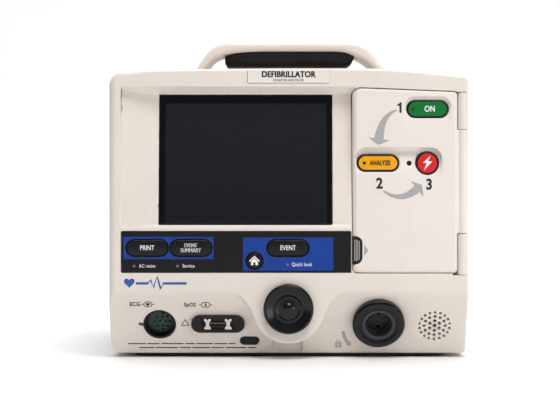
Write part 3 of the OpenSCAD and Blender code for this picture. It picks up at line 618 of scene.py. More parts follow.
def front_outer(x, y, z):
    """The front case's outer form with its large hollows, but before its openings."""
    edge = 2.2 + 3.3 * np.clip((-x - 100) / 24, 0, 1)
    body = cut_round(case_outline(x, z), Y_FRONT - y, edge)
    chin = -(y - Y_FRONT) * CHIN_COS - (z - CHIN_TOP) * CHIN_SIN
    body = cut_soft(body, chin, 1.3)
    tongue = cut_round(tongue_outline(x, z), Y_FRONT - y, 2.0)
    body = join_round(body, common(tongue, y - Y_FRONT - 24), 1.0)
    body = cut_round(body, (display_surround(x, z) - y) * 0.92, 0.8)
    return cut_out(body, finger_well(x, y, z), 2.5)


def front_case_field(x, y, z):
    """The front case: a thin shell with the bay, the seats and the openings of its face."""
    outer = front_outer(x, y, z)
    inner = common(outer + WALL, Y_FRONT + 4 - y)
    bay_wall = common(door_line(x, z, 3.3, 4.0), y - BAY_Y - WALL)
    shell = cut_out(outer, common(inner, -bay_wall))
    bay = common(door_line(x, z, 0.4, 3.0), y - BAY_Y)
    corner = common(DOOR_RIGHT - 3.2 - x, y - HINGE[1] - KNUCKLE_R - 0.4,
                    slab(z, HINGE_LO[2] - 0.3, HINGE_HI[2] + 0.3))
    shell = cut_out(shell, bay, 0.8)
    shell = cut_out(shell, corner, 0.5)
    behind = common(rect(x, z, PANEL_LO[[0, 2]] + (11, 3), PANEL_HI[[0, 2]] - (3, 6)), BAY_Y - 1 - y)
    shell = cut_out(shell, behind)
    seat = rect(x, z, KEYPAD_LO[[0, 2]] - 0.15, KEYPAD_HI[[0, 2]] + 0.15, 0.8)
    shell = cut_out(shell, common(seat, y - KEYPAD_HI[1]), 0.3)
    shell = cut_out(shell, common(seat + 1.7, y - Y_FRONT - 9))
    across, deep, up = window_frame(x, y, z)
    frame_hole = rect(across, up, (-62.0, -0.2), (62.0, 93.6), 0.5)
    shell = cut_out(shell, common(frame_hole, deep - 3.2))
    shell = cut_out(shell, common(frame_hole + 4.0, deep - 14))
    plate = rect(x, z, PLATE_LO[[0, 2]] - 0.2, PLATE_HI[[0, 2]] + 0.2, 0.8)
    shell = cut_out(shell, common(plate, y - PLATE_HI[1]), 0.25)
    shell = cut_out(shell, common(disc(x, z - DIAL_Z, 4.0), y - Y_FRONT - 20), 0.4)
    return common(chin_openings(shell, x, y, z), y - Y_SEAM)


def drilled(shell, outline, w, r=0.0):
    """A shell with an outline cut through the chin's wall."""
    return cut_out(shell, common(outline, -SOCKET_DEEP - w), r)


def chin_openings(shell, x, y, z):
    """Cuts the sockets' holes, the infrared window, the thumb slot and the speaker's grille."""
    u, v, w = chin_frame(ECG, x, y, z)
    rim = cut_round(disc(u, v, ECG_R + 1.7), w - 0.8, 0.75)
    shell = join_round(shell, common(rim, -w - 2), 0.5)
    notch = common(rect(u, v, (-ECG_R - 3.6, -1.1), (-ECG_R + 2, 1.1), 0.6), -5.0 - w)
    shell = drilled(shell, disc(u, v, ECG_R + 0.1), w, 0.6)
    shell = cut_out(shell, notch, 0.4)
    u, v, w = chin_frame(THERAPY, x, y, z)
    shell = drilled(shell, disc(u, v, TUBE_R + 0.1), w, 0.4)
    u, v, w = chin_frame(SPO2, x, y, z)
    shell = drilled(shell, pill(u, v, grown(SPO2_SIZE, -4)), w)
    u, v, w = chin_frame(INFRARED, x, y, z)
    shell = drilled(shell, pill(u, v, grown(INFRARED_SIZE, 0.2)), w, 0.4)
    u, v, w = chin_frame((0, 8), x, y, z)
    slot = cut_round(rect(u, v, (-11, -4.2), (10, 6), 0.8), -1.8 - w, 0.6)
    shell = cut_out(shell, common(slot, w - 3), 0.5)
    u, v, w = chin_frame(SPEAKER, x, y, z)
    holes = np.full(np.shape(u), 9.0)
    for ring, count, r in ((0, 1, 1.5), (3.9, 6, 1.25), (7.6, 12, 1.1), (10.9, 18, 0.95)):
        turn = np.round((np.arctan2(v, u) / math.pi - 0.5) * count / 2) * 2 * math.pi / count + math.pi / 2
        holes = np.minimum(holes, disc(u - ring * np.cos(turn), v - ring * np.sin(turn), r))
    return cut_out(shell, common(holes, -WALL - 2 - w), 0.25)


def build_front_case():
    """Makes the front case; the samples are closest round the sockets and the speaker."""
    fine_x = (ECG[0] - 17, ECG[0] + 14, 0.6), (SPEAKER[0] - 13, SPEAKER[0] + 13, 0.36)
    xs = graded(-HALF_W - 2, HALF_W + 2, 1.1, *fine_x)
    ys = graded(Y_FRONT - 2, Y_SEAM + 1.5, 1.0, (Y_FRONT - 2, Y_FRONT + 20, 0.55))
    zs = graded(BOTTOM_Z - 2, TOP_Z + 2, 0.95, (9, SPEAKER[1] + 13, 0.45))
    piece = solid("front_shell", front_case_field, xs, ys, zs)
    dress(piece, "case", CASE_FINISH, "case_plastic", "front_case")


build_front_case()


def wall_box(x, y, z, xr, yr, zr, grow=0.0):
    """An upright box with its sides moved out by grow."""
    return common(slab(x, *xr), slab(y, *yr), slab(z, *zr)) - grow


PRINTER_BAY = ((-140, -72), (6, 82), (90, 172))
BATTERY_BAY = ((38, 112), (62, 140), (18, 76))
INLET = (-72, 38)
PORT = (-12, 38)
EARTH = (PORT[0] - 38, PORT[1])
SCREWS = ((-118, 18), (121.8, 9.5), (-118, 190), (118, 188), (0, 16), (0, 196))


def rear_case_field(x, y, z):
    """The rear case: a shell with the printer's and battery's bays, vents and sockets' openings."""
    outer = cut_round(case_outline(x, z), y - Y_BACK, 4.0)
    bays = np.minimum(wall_box(x, y, z, *PRINTER_BAY, 2), wall_box(x, y, z, *BATTERY_BAY, 2))
    shell = cut_out(outer, common(outer + WALL, -bays))
    shell = cut_out(shell, wall_box(x, y, z, *PRINTER_BAY), 0.8)
    shell = cut_out(shell, wall_box(x, y, z, *BATTERY_BAY))
    pin = disc(x + 124.8, z - 94, 1.25)
    shell = cut_out(shell, common(pin, slab(y, 3.8, 84.2)))
    u, v = BATTERY_BAY[0], BATTERY_BAY[2]
    recess = rect(x, z, (u[0] - 5, v[0] - 5), (u[1] + 5, v[1] + 5), 3.0)
    shell = cut_out(shell, common(recess, Y_BACK - 2.4 - y), 0.5)
    openings = disc(x - EARTH[0], z - EARTH[1], 3.05)
    for at, half in ((INLET, (13.85, 10.15)), (PORT, (20.55, 6.55))):
        openings = np.minimum(openings, centred_rect(x - at[0], z - at[1], half))
    shell = cut_out(shell, common(openings, Y_BACK - 8 - y), 0.4)
    for at in SCREWS:
        head, shank = (common(disc(x - at[0], z - at[1], r), Y_BACK - deep - y)
                       for r, deep in ((3.6, 2.4), (2.0, 13)))
        shell = cut_out(shell, np.minimum(head, shank), 0.3)
    slot = 9 * np.clip(np.round((y - 12) / 9), 0, 9) + 12
    vents = common(rect(y - slot, z, (-2, 120), (2, 170), 1.8), HALF_W - 5 - x)
    shell = cut_out(shell, vents, 0.4)
    shell = cut_out(shell, wall_box(x, y, z, (-80, 80), (-10, 50), (0, 6)))
    return cut_round(shell, Y_SEAM - y, 0.5)


def pin_hole(x, y):
    """The hole for the hinge's pin."""
    return disc(x - HINGE[0], y - HINGE[1], 1.55)


def door_field(x, y, z):
    """The hinged control door: a ribbed-edge plate with sloping pockets, holes and a knuckle."""
    edge = 2.2 + 1.8 * np.clip((53 - x) / 5, 0, 1)
    outer = common(cut_round(door_line(x, z, 0.0, 2.6), Y_FRONT - y, edge), y - DOOR_BACK)
    hollow = common(door_line(x, z, -2.0, 1.5), Y_FRONT + 3 - y)
    door = cut_out(outer, hollow)
    pockets = []
    for low, high, deep in (((47.9, 131.0), (108.8, 150.4), 5.0), ((82.6, 169.5), (115.4, 186.8), 3.0)):
        slope = deep / (high[1] - low[1])
        floor = (y - Y_FRONT - slope * (z - low[1])) / math.hypot(1, slope)
        sides = rect(x, z, (low[0], low[1] - 14), high, 7.5)
        pockets.append(cut_round(sides, floor, 2.2))
        backing = common(sides - 2, floor - 2.4, slab(y, Y_FRONT + 1, DOOR_BACK - 0.2), outer)
        door = np.minimum(door, backing)
    for pocket in pockets:
        door = cut_out(door, pocket, 1.1)
    holes = disc(x - CHARGE_LAMP_AT[0], z - CHARGE_LAMP_AT[1], 1.8)
    for at, size in ((ON_AT, ON_SIZE), (ANALYZE_AT, ANALYZE_SIZE), (SHOCK_AT, SHOCK_SIZE)):
        holes = np.minimum(holes, pill(x - at[0], z - at[1], grown(size, 1.0)))
    door = cut_out(door, holes, 0.5)
    door = cut_out(door, rect(x, z, (30, LATCH_Z - 10), (52.5, LATCH_Z + 10), 5.0), 0.5)
    barrel = cut_round(disc(x - HINGE[0], y - HINGE[1], KNUCKLE_R), slab(z, *KNUCKLE_Z), 0.4)
    link = wall_box(x, y, z, (115, HINGE[0]), (Y_FRONT + 1.2, Y_FRONT + 3.4), KNUCKLE_Z)
    door = join_round(door, np.minimum(barrel, link), 0.8)
    return common(door, x - HALF_W, -pin_hole(x, y))


def hinge_cheeks_field(x, y, z):
    """The two fixed ends of the door's hinge."""
    height = np.minimum(slab(z, HINGE_LO[2], 89.2), slab(z, 163.8, HINGE_HI[2]))
    barrel = disc(x - HINGE[0], y - HINGE[1], KNUCKLE_R)
    foot = rect(x, y, (HINGE_LO[0], HINGE[1]), (HINGE_HI[0], HINGE_HI[1]), 0.4)
    cheeks = cut_round(join_round(barrel, foot, 0.6), height, 0.5)
    return common(cheeks, x - HALF_W, -pin_hole(x, y))


def end_slopes(x, z, left, right):
    """How far a point is above two slopes that run down from the bar's level underside."""
    level = ARCH_UNDER + 0.4
    return common(half_plane(x, z, left, (-32.5, level)), half_plane(x, z, (40.5, level), right))


def arch_field(x, y, z):
    """The carrying handle: a bowed bar with sloping legs that flare where they meet the case."""
    base = ARCH_LO[2]
    outer = cut_soft(z - ARCH_HI[2], half_plane(x, z, (-69, base), (-52.5, ARCH_HI[2] + 1)), 9)
    outer = cut_soft(outer, half_plane(x, z, (54.5, ARCH_HI[2] + 1), (71.5, base)), 9)
    inner = cut_soft(z - ARCH_UNDER, half_plane(x, z, (-61.5, base), (-50, 222)), 6)
    inner = cut_soft(inner, half_plane(x, z, (48.5, 222), (64.0, base)), 6)
    inner = cut_soft(inner, end_slopes(x, z, (-50.3, 218.9), (55.2, 216.6)), 4)
    bar = cut_round(common(outer, -inner), slab(y, ARCH_LO[1], ARCH_HI[1]), 3.6)
    return common(bar, base - 0.4 - z)


def grip_field(x, y, z):
    """The rubber grip: a long rounded pad under the handle's bar with tapering ends."""
    low, high = GRIP_LO, GRIP_HI
    right_end = half_plane(x, z, (high[0] + 2.6, high[2] - 1), (high[0] - 2.2, low[2]))
    side = cut_round(cut_soft(low[0] - 1.8 - x, right_end, 1), low[2] - z, 4.5)
    pad = cut_round(side, slab(y, low[1], high[1]), 5.5)
    top = common(z - high[2] - 0.4, end_slopes(x, z, (-46.5, 218.2), (50.0, 217.2)) - 0.3)
    return cut_round(pad, top, 0.8)


def carved(name, field, low, high, step, adaptivity=0.01):
    """A small solid of a field that lies between two corners."""
    return solid(name, field, *(around(a, b, step) for a, b in zip(low, high)), adaptivity)


def build_shells():
    """Makes the rear case, the door, its hinge, the handle and the grip."""
    xs = graded(-HALF_W - 2, HALF_W + 2, 1.3, (-HALF_W - 2, -HALF_W + 6, 0.9), (HALF_W - 6, HALF_W + 2, 0.8))
    ys = graded(Y_SEAM - 1.2, Y_BACK + 2, 1.3, (Y_SEAM - 1.2, Y_SEAM + 2, 0.4), (Y_BACK - 4, Y_BACK + 2, 0.7))
    zs = graded(BOTTOM_Z - 2, TOP_Z + 2, 1.2)
    dress(solid("rear_shell", rear_case_field, xs, ys, zs), "case", CASE_FINISH, "case_plastic", "rear_case")
    xs = graded(DOOR_LO[0] - 1, HALF_W + 1, 0.62)
    ys = graded(Y_FRONT - 1, DOOR_BACK + 1, 0.5)
    zs = graded(DOOR_LO[2] - 1, DOOR_HI[2] + 1, 0.62)
    dress(solid("door_shell", door_field, xs, ys, zs), "door", DOOR_FINISH, "case_plastic", "front_door")
    dress(carved("hinge_cheeks", hinge_cheeks_field, HINGE_LO, HINGE_HI, 0.5), "case", CASE_FINISH,
          "case_plastic", "hinge_blocks")
    dress(carved("handle_bar", arch_field, ARCH_LO, ARCH_HI, 0.9), "case", CASE_FINISH,
          "case_plastic", "handle_arch")
    dress(carved("handle_pad", grip_field, GRIP_LO, GRIP_HI, 0.8), "case", RUBBER,
          "black_rubber", "handle_grip")


build_shells()


# ---- display, keypad and buttons

def window_finish():
    """Glossy glass: a black border round the dark, slightly blue display behind it, with a painted sheen that
    makes the display lighter towards the top.
    """
    material = finish("display_glass", (8, 8, 12), 0.12, 0.1, 40, 6.0, 0.004, coat=0.1, shine=0.25)
    nodes, links = material.node_tree.nodes, material.node_tree.links
    shader = nodes["Principled BSDF"]
    coords = nodes.new("ShaderNodeTexCoord").outputs["Object"]
    split = nodes.new("ShaderNodeSeparateXYZ")
    links.new(coords, split.inputs["Vector"])
    mask = None
    for axis, start, end, to in (("X", -88.4, -87.6, (0, 1)), ("X", 26.9, 27.7, (1, 0)),
                                 ("Z", 96.4, 97.0, (0, 1)), ("Z", 182.2, 183.0, (1, 0))):
        edge = ranged(nodes, links, split.outputs[axis], start * MM, end * MM, *to)
        if mask:
            times = nodes.new("ShaderNodeMath")
            times.operation = "MULTIPLY"
            links.new(mask, times.inputs[0])
            links.new(edge, times.inputs[1])
            edge = times.outputs["Value"]
        mask = edge
    # Painted sheen: the display's colour grows lighter towards its top, as light from above would make it;
    # the dust below is real.
    height = ranged(nodes, links, split.outputs["Z"], 97 * MM, 182 * MM, 0, 1)
    painted_sheen_and_dust = mixed(nodes, links, height, linear(23, 25, 30), linear(28, 31, 38))
    dust = noise(nodes, links, coords, 0.5, 5)
    painted_sheen_and_dust = mixed(nodes, links, ranged(nodes, links, dust, 0.5, 0.75, 0, 0.12), painted_sheen_and_dust, linear(52, 54, 62))
    links.new(mixed(nodes, links, mask, linear(5, 5, 8), painted_sheen_and_dust), shader.inputs["Base Color"])
    return material


LED_OFF = finish("lamp_window", (122, 124, 128), 0.3, 0.05, 4, 0.4, 0.01, coat=0.4)
LED_DARK = finish("dark_lamp", (52, 14, 16), 0.25, 0.1, 4, 0.4, 0.01, coat=0.5)


def ink(name, colour, vary):
    """A printing ink."""
    return finish(name, colour, 0.5, vary, 6, 0.4, 0.01)


def overlay(name, colour, vary):
    """The keypad's slightly worn film."""
    return finish(name, colour, 0.4, vary, 18, 0.5, 0.03, scuff=0.06, shine=0.25)


def button_cap(name, colour, vary):
    """A coloured plastic button."""
    return finish(name, colour, 0.32, vary, 6, 0.5, 0.02, scuff=0.05, shine=0.3)


WHITE_INK = ink("white_print", (238, 238, 240), 0.02)
BLACK_INK = ink("black_print", (28, 27, 30), 0.08)
BLUE_INK = ink("blue_print", (38, 84, 168), 0.04)
GREY_INK = ink("grey_print", (172, 168, 170), 0.03)
BLUE_FILM = overlay("keypad_blue", (20, 62, 148), 0.06)
KEYPAD_BLACK = overlay("keypad_black", (19, 18, 23), 0.1)
GREEN_CAP = button_cap("green_cap", (2, 116, 46), 0.05)
AMBER_CAP = button_cap("amber_cap", (242, 166, 8), 0.04)
RED_CAP = button_cap("red_cap", (222, 36, 34), 0.05)


def cap_field(centre, size, face, back, edge, crown=0.0):
    """A stadium-shaped push cap that faces forward, with a rounded edge and a slight crown."""
    def field(x, y, z):
        side = pill(x - centre[0], z - centre[1], size)
        bow = crown * np.clip(-side / (size[1] / 2), 0, 1) ** 0.7
        return cut_round(cut_round(side, face - bow + crown - y, edge), y - back, 0.2)
    return field


def push_cap(name, centre, size, face, back, edge, crown, step=0.3):
    """A push cap as an object."""
    low = (centre[0] - size[0] / 2, face - crown, centre[1] - size[1] / 2)
    high = (centre[0] + size[0] / 2, back, centre[1] + size[1] / 2)
    return carved(name, cap_field(centre, size, face, back, edge, crown), low, high, step)


def printed(name, body, ink, place, *parts, slot="nameplate"):
    """Printing on a body: flat thin parts put together on a frame."""
    dress(assembled(name, parts, place), body, ink, slot)


KEY_SIZE = (29.2, 11.3)
HOME_SIZE = (11.2, 11.2)
KEYS = (
    ("print_key", (-100.5, 79.2), KEY_SIZE, "PRINT"),
    ("event_summary_key", (-69.5, 79.2), KEY_SIZE, "EVENT\nSUMMARY"),
    ("event_key", (-0.4, 79.2), KEY_SIZE, "EVENT"),
    ("home_key", (-24.2, 70.0), HOME_SIZE, ""),
)
KEYPAD_SIGNS = (
    ("mains_lamp", (-109.8, 66.3), "AC mains", 2.5, 3.4),
    ("service_lamp", (-78.9, 66.3), "Service", 2.5, 3.5),
    ("look_lamp", (-0.6, 67.4), "Quick look", 2.7, 2.8),
)


def key_outlines(gap):
    """The outlines of the keypad's keys, with a gap round each."""
    return [pill_points(at, grown(size, gap), 12) for _, at, size, _ in KEYS]


def lamp(name, body, at, y, r, thick, bevel, look):
    """A small round indicator lamp that faces forward."""
    lens = film([circle_points((0, 0), r, 20)], thick, bevel)
    dress(assembled(name, [lens], front_place(y, at)), body, look, "lcd")


def build_display():
    """The display's tilted window."""
    centre = (WINDOW_LO[0] + WINDOW_HI[0]) / 2
    half = (WINDOW_HI[0] - WINDOW_LO[0]) / 2

    def glass(x, y, z):
        across, deep, up = window_frame(x, y, z)
        pane = rect(across, up, (-half, 0.0), (half, 93.2), 0.6)
        return cut_round(pane, slab(deep, 0.0, 2.6), 0.35)

    piece = carved("window_glass", glass, WINDOW_LO, (WINDOW_HI[0], WINDOW_LO[1] + 11.5, WINDOW_HI[2]), 0.8)
    dress(piece, "case", window_finish(), "screen_glass", "display_window")


def build_keypad():
    """The keypad's panel, its blue fields, its lamps and their words."""
    low, high = KEYPAD_LO, KEYPAD_HI
    edge = rect_points((low[0], low[2]), (high[0], high[2]), 1.2)
    base = film([edge] + key_outlines(0.7), high[1] - low[1], 0.3)
    piece = assembled("keypad_base", [base], front_place((low[1] + high[1]) / 2))
    dress(piece, "case", KEYPAD_BLACK, "blue_overlay", "keypad_panel")
    wide = key_outlines(2.0)
    for name, corners, holes in (("keypad_blue_left", ((-117.4, 71.2), (-53.3, 87.1)), wide[:2]),
                                 ("keypad_blue_right", ((-32.4, 63.1), (31.9, 86.7)), wide[2:])):
        printed(name, "case", BLUE_FILM, front_place(low[1] - 0.02),
                shape(rect_points(*corners, 0.6), *holes), slot="blue_overlay")
    printed("keypad_words", "case", WHITE_INK, front_place(low[1] - 0.1),
            *[words(text, cap, (at[0] + gap, at[1]), 0.86, 0.02, "LEFT")
              for _, at, text, cap, gap in KEYPAD_SIGNS])
    for name, at, *_ in KEYPAD_SIGNS:
        lamp(name, "case", at, low[1], 0.85, 0.5, 0.15, LED_OFF)


def home_sign():
    """A small house: a roof over walls with a doorway."""
    roof = [(-3.9, 0.1), (0, 3.7), (3.9, 0.1), (3.2, -0.6), (0, 2.5), (-3.2, -0.6)]
    walls = [(-2.5, -3.0), (2.5, -3.0), (2.5, -0.4), (0, 1.9), (-2.5, -0.4)]
    way_in = [(-0.7, -3.0), (0.7, -3.0), (0.7, -1.0), (-0.7, -1.0)]
    return [shape(roof), shape(walls, way_in)]


def key_words(text):
    """A key's word; the font's M can't be made bolder, so a word with an M is doubled instead."""
    cap = 3.0 if "\n" in text else 3.5
    shifts, weight = ((-0.11, 0.11), 0) if "M" in text else ((0,), 0.08)
    return [words(text, cap, (shift, 0), 0.76, weight) for shift in shifts]


def build_keys():
    """The keypad's four keys and their signs."""
    for name, at, size, text in KEYS:
        cap = push_cap(name + "_cap", at, size, KEYPAD_LO[1] - 0.9, KEYPAD_HI[1] + 0.6, 0.7, 0.5)
        dress(cap, name + "_body", BLACK, "black_key", name)
        sign, parts = (name + "_words", key_words(text)) if text else ("home_sign", home_sign())
        printed(sign, name + "_body", WHITE_INK, front_place(KEYPAD_LO[1] - 1.38, at), *parts)


BUTTON_FACE = Y_FRONT + 0.95
BUTTON_BACK = -113.8
BUTTONS = (("on", ON_AT, ON_SIZE, GREEN_CAP, "green_key"),
           ("analyze", ANALYZE_AT, ANALYZE_SIZE, AMBER_CAP, "yellow_key"),
           ("shock", SHOCK_AT, SHOCK_SIZE, RED_CAP, "red_key"))


def build_door_buttons():
    """The three coloured buttons seen through the door, with their signs and lamps."""
    for name, at, size, look, slot in BUTTONS:
        cap = push_cap(name + "_button_cap", at, size, BUTTON_FACE, BUTTON_BACK, 0.8, 0.0)
        dress(cap, name + "_body", BLACK, "black_key", name + "_button")
        inset = push_cap(name + "_button_inset", at, grown(size, -1.9), BUTTON_FACE - 0.35, BUTTON_FACE + 0.9,
                         0.5, 0.25, 0.25)
        dress(inset, name + "_body", look, slot)
    ink = BUTTON_FACE - 0.62
    printed("on_words", "on_body", WHITE_INK, front_place(ink, ON_AT), words("ON", 4.2, (1.5, 0), 0.8, 0.16))
    printed("analyze_words", "analyze_body", BLACK_INK, front_place(ink, ANALYZE_AT),
            words("ANALYZE", 3.3, (1.5, 0), 0.72, 0.1))
    bolt = [(2.2, 5.4), (-3.3, 0.2), (-0.4, 0.2), (-2.5, -5.2), (3.6, 1.3), (0.5, 1.3)]
    printed("shock_sign", "shock_body", WHITE_INK, front_place(ink, SHOCK_AT), shape(bolt))
    lamp("on_lamp", "on_body", (88.9, ON_AT[1]), BUTTON_FACE - 0.5, 1.1, 0.7, 0.2, LED_DARK)
    lamp("analyze_lamp", "analyze_body", (54.0, ANALYZE_AT[1]), BUTTON_FACE - 0.5, 1.1, 0.7, 0.2, BLACK)
    charge_lamp = turned("charge_lamp", rounded([(0, 0, 0), (1.7, 0, 0.1), (1.7, 9, 0.5), (0, 9.4, 0)]),
                         front_place(PANEL_HI[1], CHARGE_LAMP_AT), 32)
    dress(charge_lamp, "case", GREY, "lcd")


MANUAL_KEYS = (("energy", (66, 113)), ("charge", (66, 97)), ("sync", (66, 81)), ("lead", (102, 117)),
               ("rate", (102, 103)), ("current", (102, 89)), ("pacer", (102, 75)))
MANUAL_HALF = (8.5, 4.5)


def build_manual_keys():
    """The grey keys on the panel behind the door."""
    face = PANEL_LO[1] - 2.5
    back = BAY_Y + 0.4
    for name, at in MANUAL_KEYS:
        def key(x, y, z, at=at):
            pad = centred_rect(x - at[0], z - at[1], MANUAL_HALF, 2.0)
            pad = common(cut_round(pad, face - y, 0.6), y - face - 1.4)
            stem = centred_rect(x - at[0], z - at[1], grown(MANUAL_HALF, -0.8))
            return common(np.minimum(pad, stem), y - back)

        low = (at[0] - MANUAL_HALF[0], face, at[1] - MANUAL_HALF[1])
        high = (at[0] + MANUAL_HALF[0], back, at[1] + MANUAL_HALF[1])
        body = name + "_body"
        dress(carved(name + "_cap", key, low, high, 0.4), body, GREY, "grey_key", name + "_key")
        printed(name + "_words", body, WHITE_INK, front_place(face - 0.03, at),
                words(name.upper(), 2.1, (0, 0), 0.82, 0.04))


def build_latch():
    """The latch's black thumb piece with its ribbed grey inset, on a stem that clears the panel behind."""
    def tab(x, y, z):
        edge = DOOR_LO[0] + 0.05 - x
        thumb = common(rect(x, z, (30, 68), (52.0, 87), 4.5), edge)
        thumb = cut_round(cut_round(thumb, Y_FRONT + 0.25 - y, 0.6), y + 114.3, 0.3)
        stem = common(rect(x, z, (30, 70.5), (49.5, 84.5), 4), edge)
        return np.minimum(thumb, common(stem, slab(y, -116, -112.3)))

    piece = carved("latch_tab", tab, (DOOR_LO[0], Y_FRONT, 68), (52.1, -112, 87), 0.35)
    dress(piece, "latch", BLACK, "grey_plastic", "latch_button")
    ribs = [film([rect_points((x, LATCH_Z - half), (x + 0.55, LATCH_Z + half), 0.25)], 0.4, 0.1)
            for x, half in ((46.8, 7.6), (47.9, 7.6), (49.0, 7.4), (50.1, 6.6))]
    dress(assembled("latch_ribs", ribs, front_place(Y_FRONT + 0.2)), "latch", GREY_INK, "grey_plastic")


build_display()
build_keypad()
build_keys()
build_door_buttons()
build_manual_keys()
build_latch()


# ---- dial and sockets

def build_dial():
    """The dished speed dial, with its raised hub and domed middle."""
    front = DIAL_HI[1] - DIAL_LO[1]
    profile = rounded([(0, 0.4, 0), (DIAL_R - 0.4, 0.4, 0.2), (DIAL_R, 0.9, 0.4), (DIAL_R, front - 1.4, 0.8),
                       (DIAL_R - 1.3, front, 0.6), (DIAL_R - 2.2, front - 0.3, 0.5), (10.5, front - 2.6, 3.0),
                       (8.6, front - 2.2, 0.6), (7.6, front - 2.7, 0.6), (4.2, front - 2.6, 0.5),
                       (2.8, front - 1.7, 1.2), (0, front - 1.4, 0)])
    piece = turned("dial_knob", profile, front_place(DIAL_HI[1], (0, DIAL_Z)), 128)
    dress(piece, "dial", DIAL_GLOSS, "dial_gloss", "speed_dial")


def build_therapy_ring():
    """The therapy connector's locking ring, with a rolled rim."""
    bore_r = TUBE_R + 0.05
    collar = rounded([(bore_r, 0.3, 0), (18.7, 0.3, 0.2), (18.7, 4.6, 0.6), (17.4, 6.0, 0.8),
                      (15.4, 6.3, 0.8), (13.7, 6.3, 0.3), (13.5, 5.0, 0.2), (bore_r, 4.6, 0)])
    piece = lathed_ring("lock_collar", collar, chin_place(THERAPY), 128)
    dress(piece, "lock_ring", DIAL_GLOSS, "black_plastic", "therapy_ring")
    tube = rounded([(9.6, -3.0, 0), (9.6, 4.5, 0.3), (10.0, 5.0, 0.3), (11.8, 5.0, 0.3), (TUBE_R, 4.6, 0.2),
                    (TUBE_R, -12.0, 0.2), (9.0, -12.0, 0.2), (9.0, -3.0, 0.05)])
    piece = lathed_ring("therapy_tube", tube, chin_place(THERAPY), 128)
    dress(piece, "case", GREY, "black_plastic", "therapy_socket")
    for i, (at, r) in enumerate((((0, 5.4), 1.4), ((0, -5.4), 1.6), ((-5, 0), 1.0), ((5, 0), 1.0))):
        ring = rounded([(r, 0, 0), (r, 0.5, 0.15), (r + 0.5, 0.5, 0.15), (r + 0.5, 0, 0.05)])
        place = chin_place(THERAPY) @ Matrix.Translation((at[0], at[1], -3.05))
        dress(lathed_ring("contact_%d" % i, ring, place, 32), "case", GREY, "black_plastic")


def build_oxygen_clips():
    """The finger sensor socket's two metal clips and its inner bars."""
    right = [(2.4, -4.3), (2.4, -2.6), (1.3, -1.6), (1.3, 1.6), (2.4, 2.6), (2.4, 4.3), (0.6, 4.3),
             (0.6, 3.2)]
    loop = right + [(-u, v) for u, v in reversed(right)]
    parts = [film([[(u + middle_u, v) for u, v in loop]], 0.7, 0.15) for middle_u in (-7.4, 7.4)]
    place = chin_place(SPO2, 3.25) @ Matrix.Translation((0, 0.8, 0))
    dress(assembled("oxygen_clips", parts, place), "case", CHROME, "steel")
    bars = [film([rect_points((-6.0, v), (6.0, v + 0.7), 0.2)], 0.5, 0.1) for v in (1.3, -2.2)]
    dress(assembled("oxygen_bars", bars, chin_place(SPO2, 2.2)), "case", DARK_STEEL, "steel")


build_dial()
build_therapy_ring()
build_oxygen_clips()


# ---- printing on the case and the door

def directions(points):
    """Points as an array, with the unit directions along and across the curve through them."""
    p = np.array(points, float)
    along = np.gradient(p, axis=0)
    along /= np.linalg.norm(along, axis=1)[:, None]
    return p, along, np.stack([-along[:, 1], along[:, 0]], 1)


def line(points, width):
    """A stroke of even width along points, as one closed outline."""
    p, _, across = directions(points)
    return [tuple(q) for q in np.concatenate([p + across * width / 2, (p - across * width / 2)[::-1]])]


def swept_arrow(points, width_start, width_end, head, barb):
    """A curved arrow that widens along its shaft and ends in a broad head."""
    p, along, across = directions(points)
    half = np.linspace(width_start, width_end, len(p))[:, None] / 2
    head_points = [p[-1] + across[-1] * barb, p[-1] + along[-1] * head, p[-1] - across[-1] * barb]
    return [tuple(q) for q in np.concatenate([p + across * half, head_points, (p - across * half)[::-1]])]


def heart(at, scale, steps, dent=1.0):
    """Outline of a heart. dent weighs the last term of its curve, which deepens the notch."""
    turn = 2 * math.pi * np.arange(steps) / steps
    waves = (1, 13), (2, -5), (3, -2), (4, -dent)
    return [(at[0] + scale * 16 * math.sin(a) ** 3,
             at[1] + scale * sum(part * math.cos(k * a) for k, part in waves)) for a in turn]


def bend(start, middle, end, steps=14):
    """Points of a smooth curve that starts and ends at two places and leans to a third."""
    t = np.linspace(0, 1, steps)[:, None]
    s, m, e = (np.array(p, float) for p in (start, middle, end))
    return (1 - t) ** 2 * s + 2 * t * (1 - t) * m + t * t * e


def build_door_printing():
    """The numbers and arrows on the door."""
    face = front_place(Y_FRONT - 0.02)
    printed("door_numbers", "door", BLACK_INK, face,
            shape([(77.4, 181.6), (78.6, 181.7), (79.2, 182.7), (80.4, 182.7), (80.4, 175.3), (78.9, 175.3),
                   (78.9, 180.3), (77.4, 180.3)]), words("2", 7.6, (64.7, 124.8), 0.9, 0.35),
            words("3", 7.6, (100.0, 124.1), 0.9, 0.35))
    first = bend((77.0, 177.2), (66.2, 174.0), (64.3, 156.8))
    second = bend((67.6, 119.8), (79.5, 110.8), (91.4, 121.2))
    printed("door_arrows", "door", GREY_INK, face,
            shape(swept_arrow(first, 1.0, 6.8, 4.4, 7.8)), shape(swept_arrow(second, 1.2, 5.8, 4.6, 7.2)))
    printed("manual_pointer", "door", GREY_INK, face,
            shape([(53.8, 81.6), (56.8, 77.5), (53.8, 73.4)]))


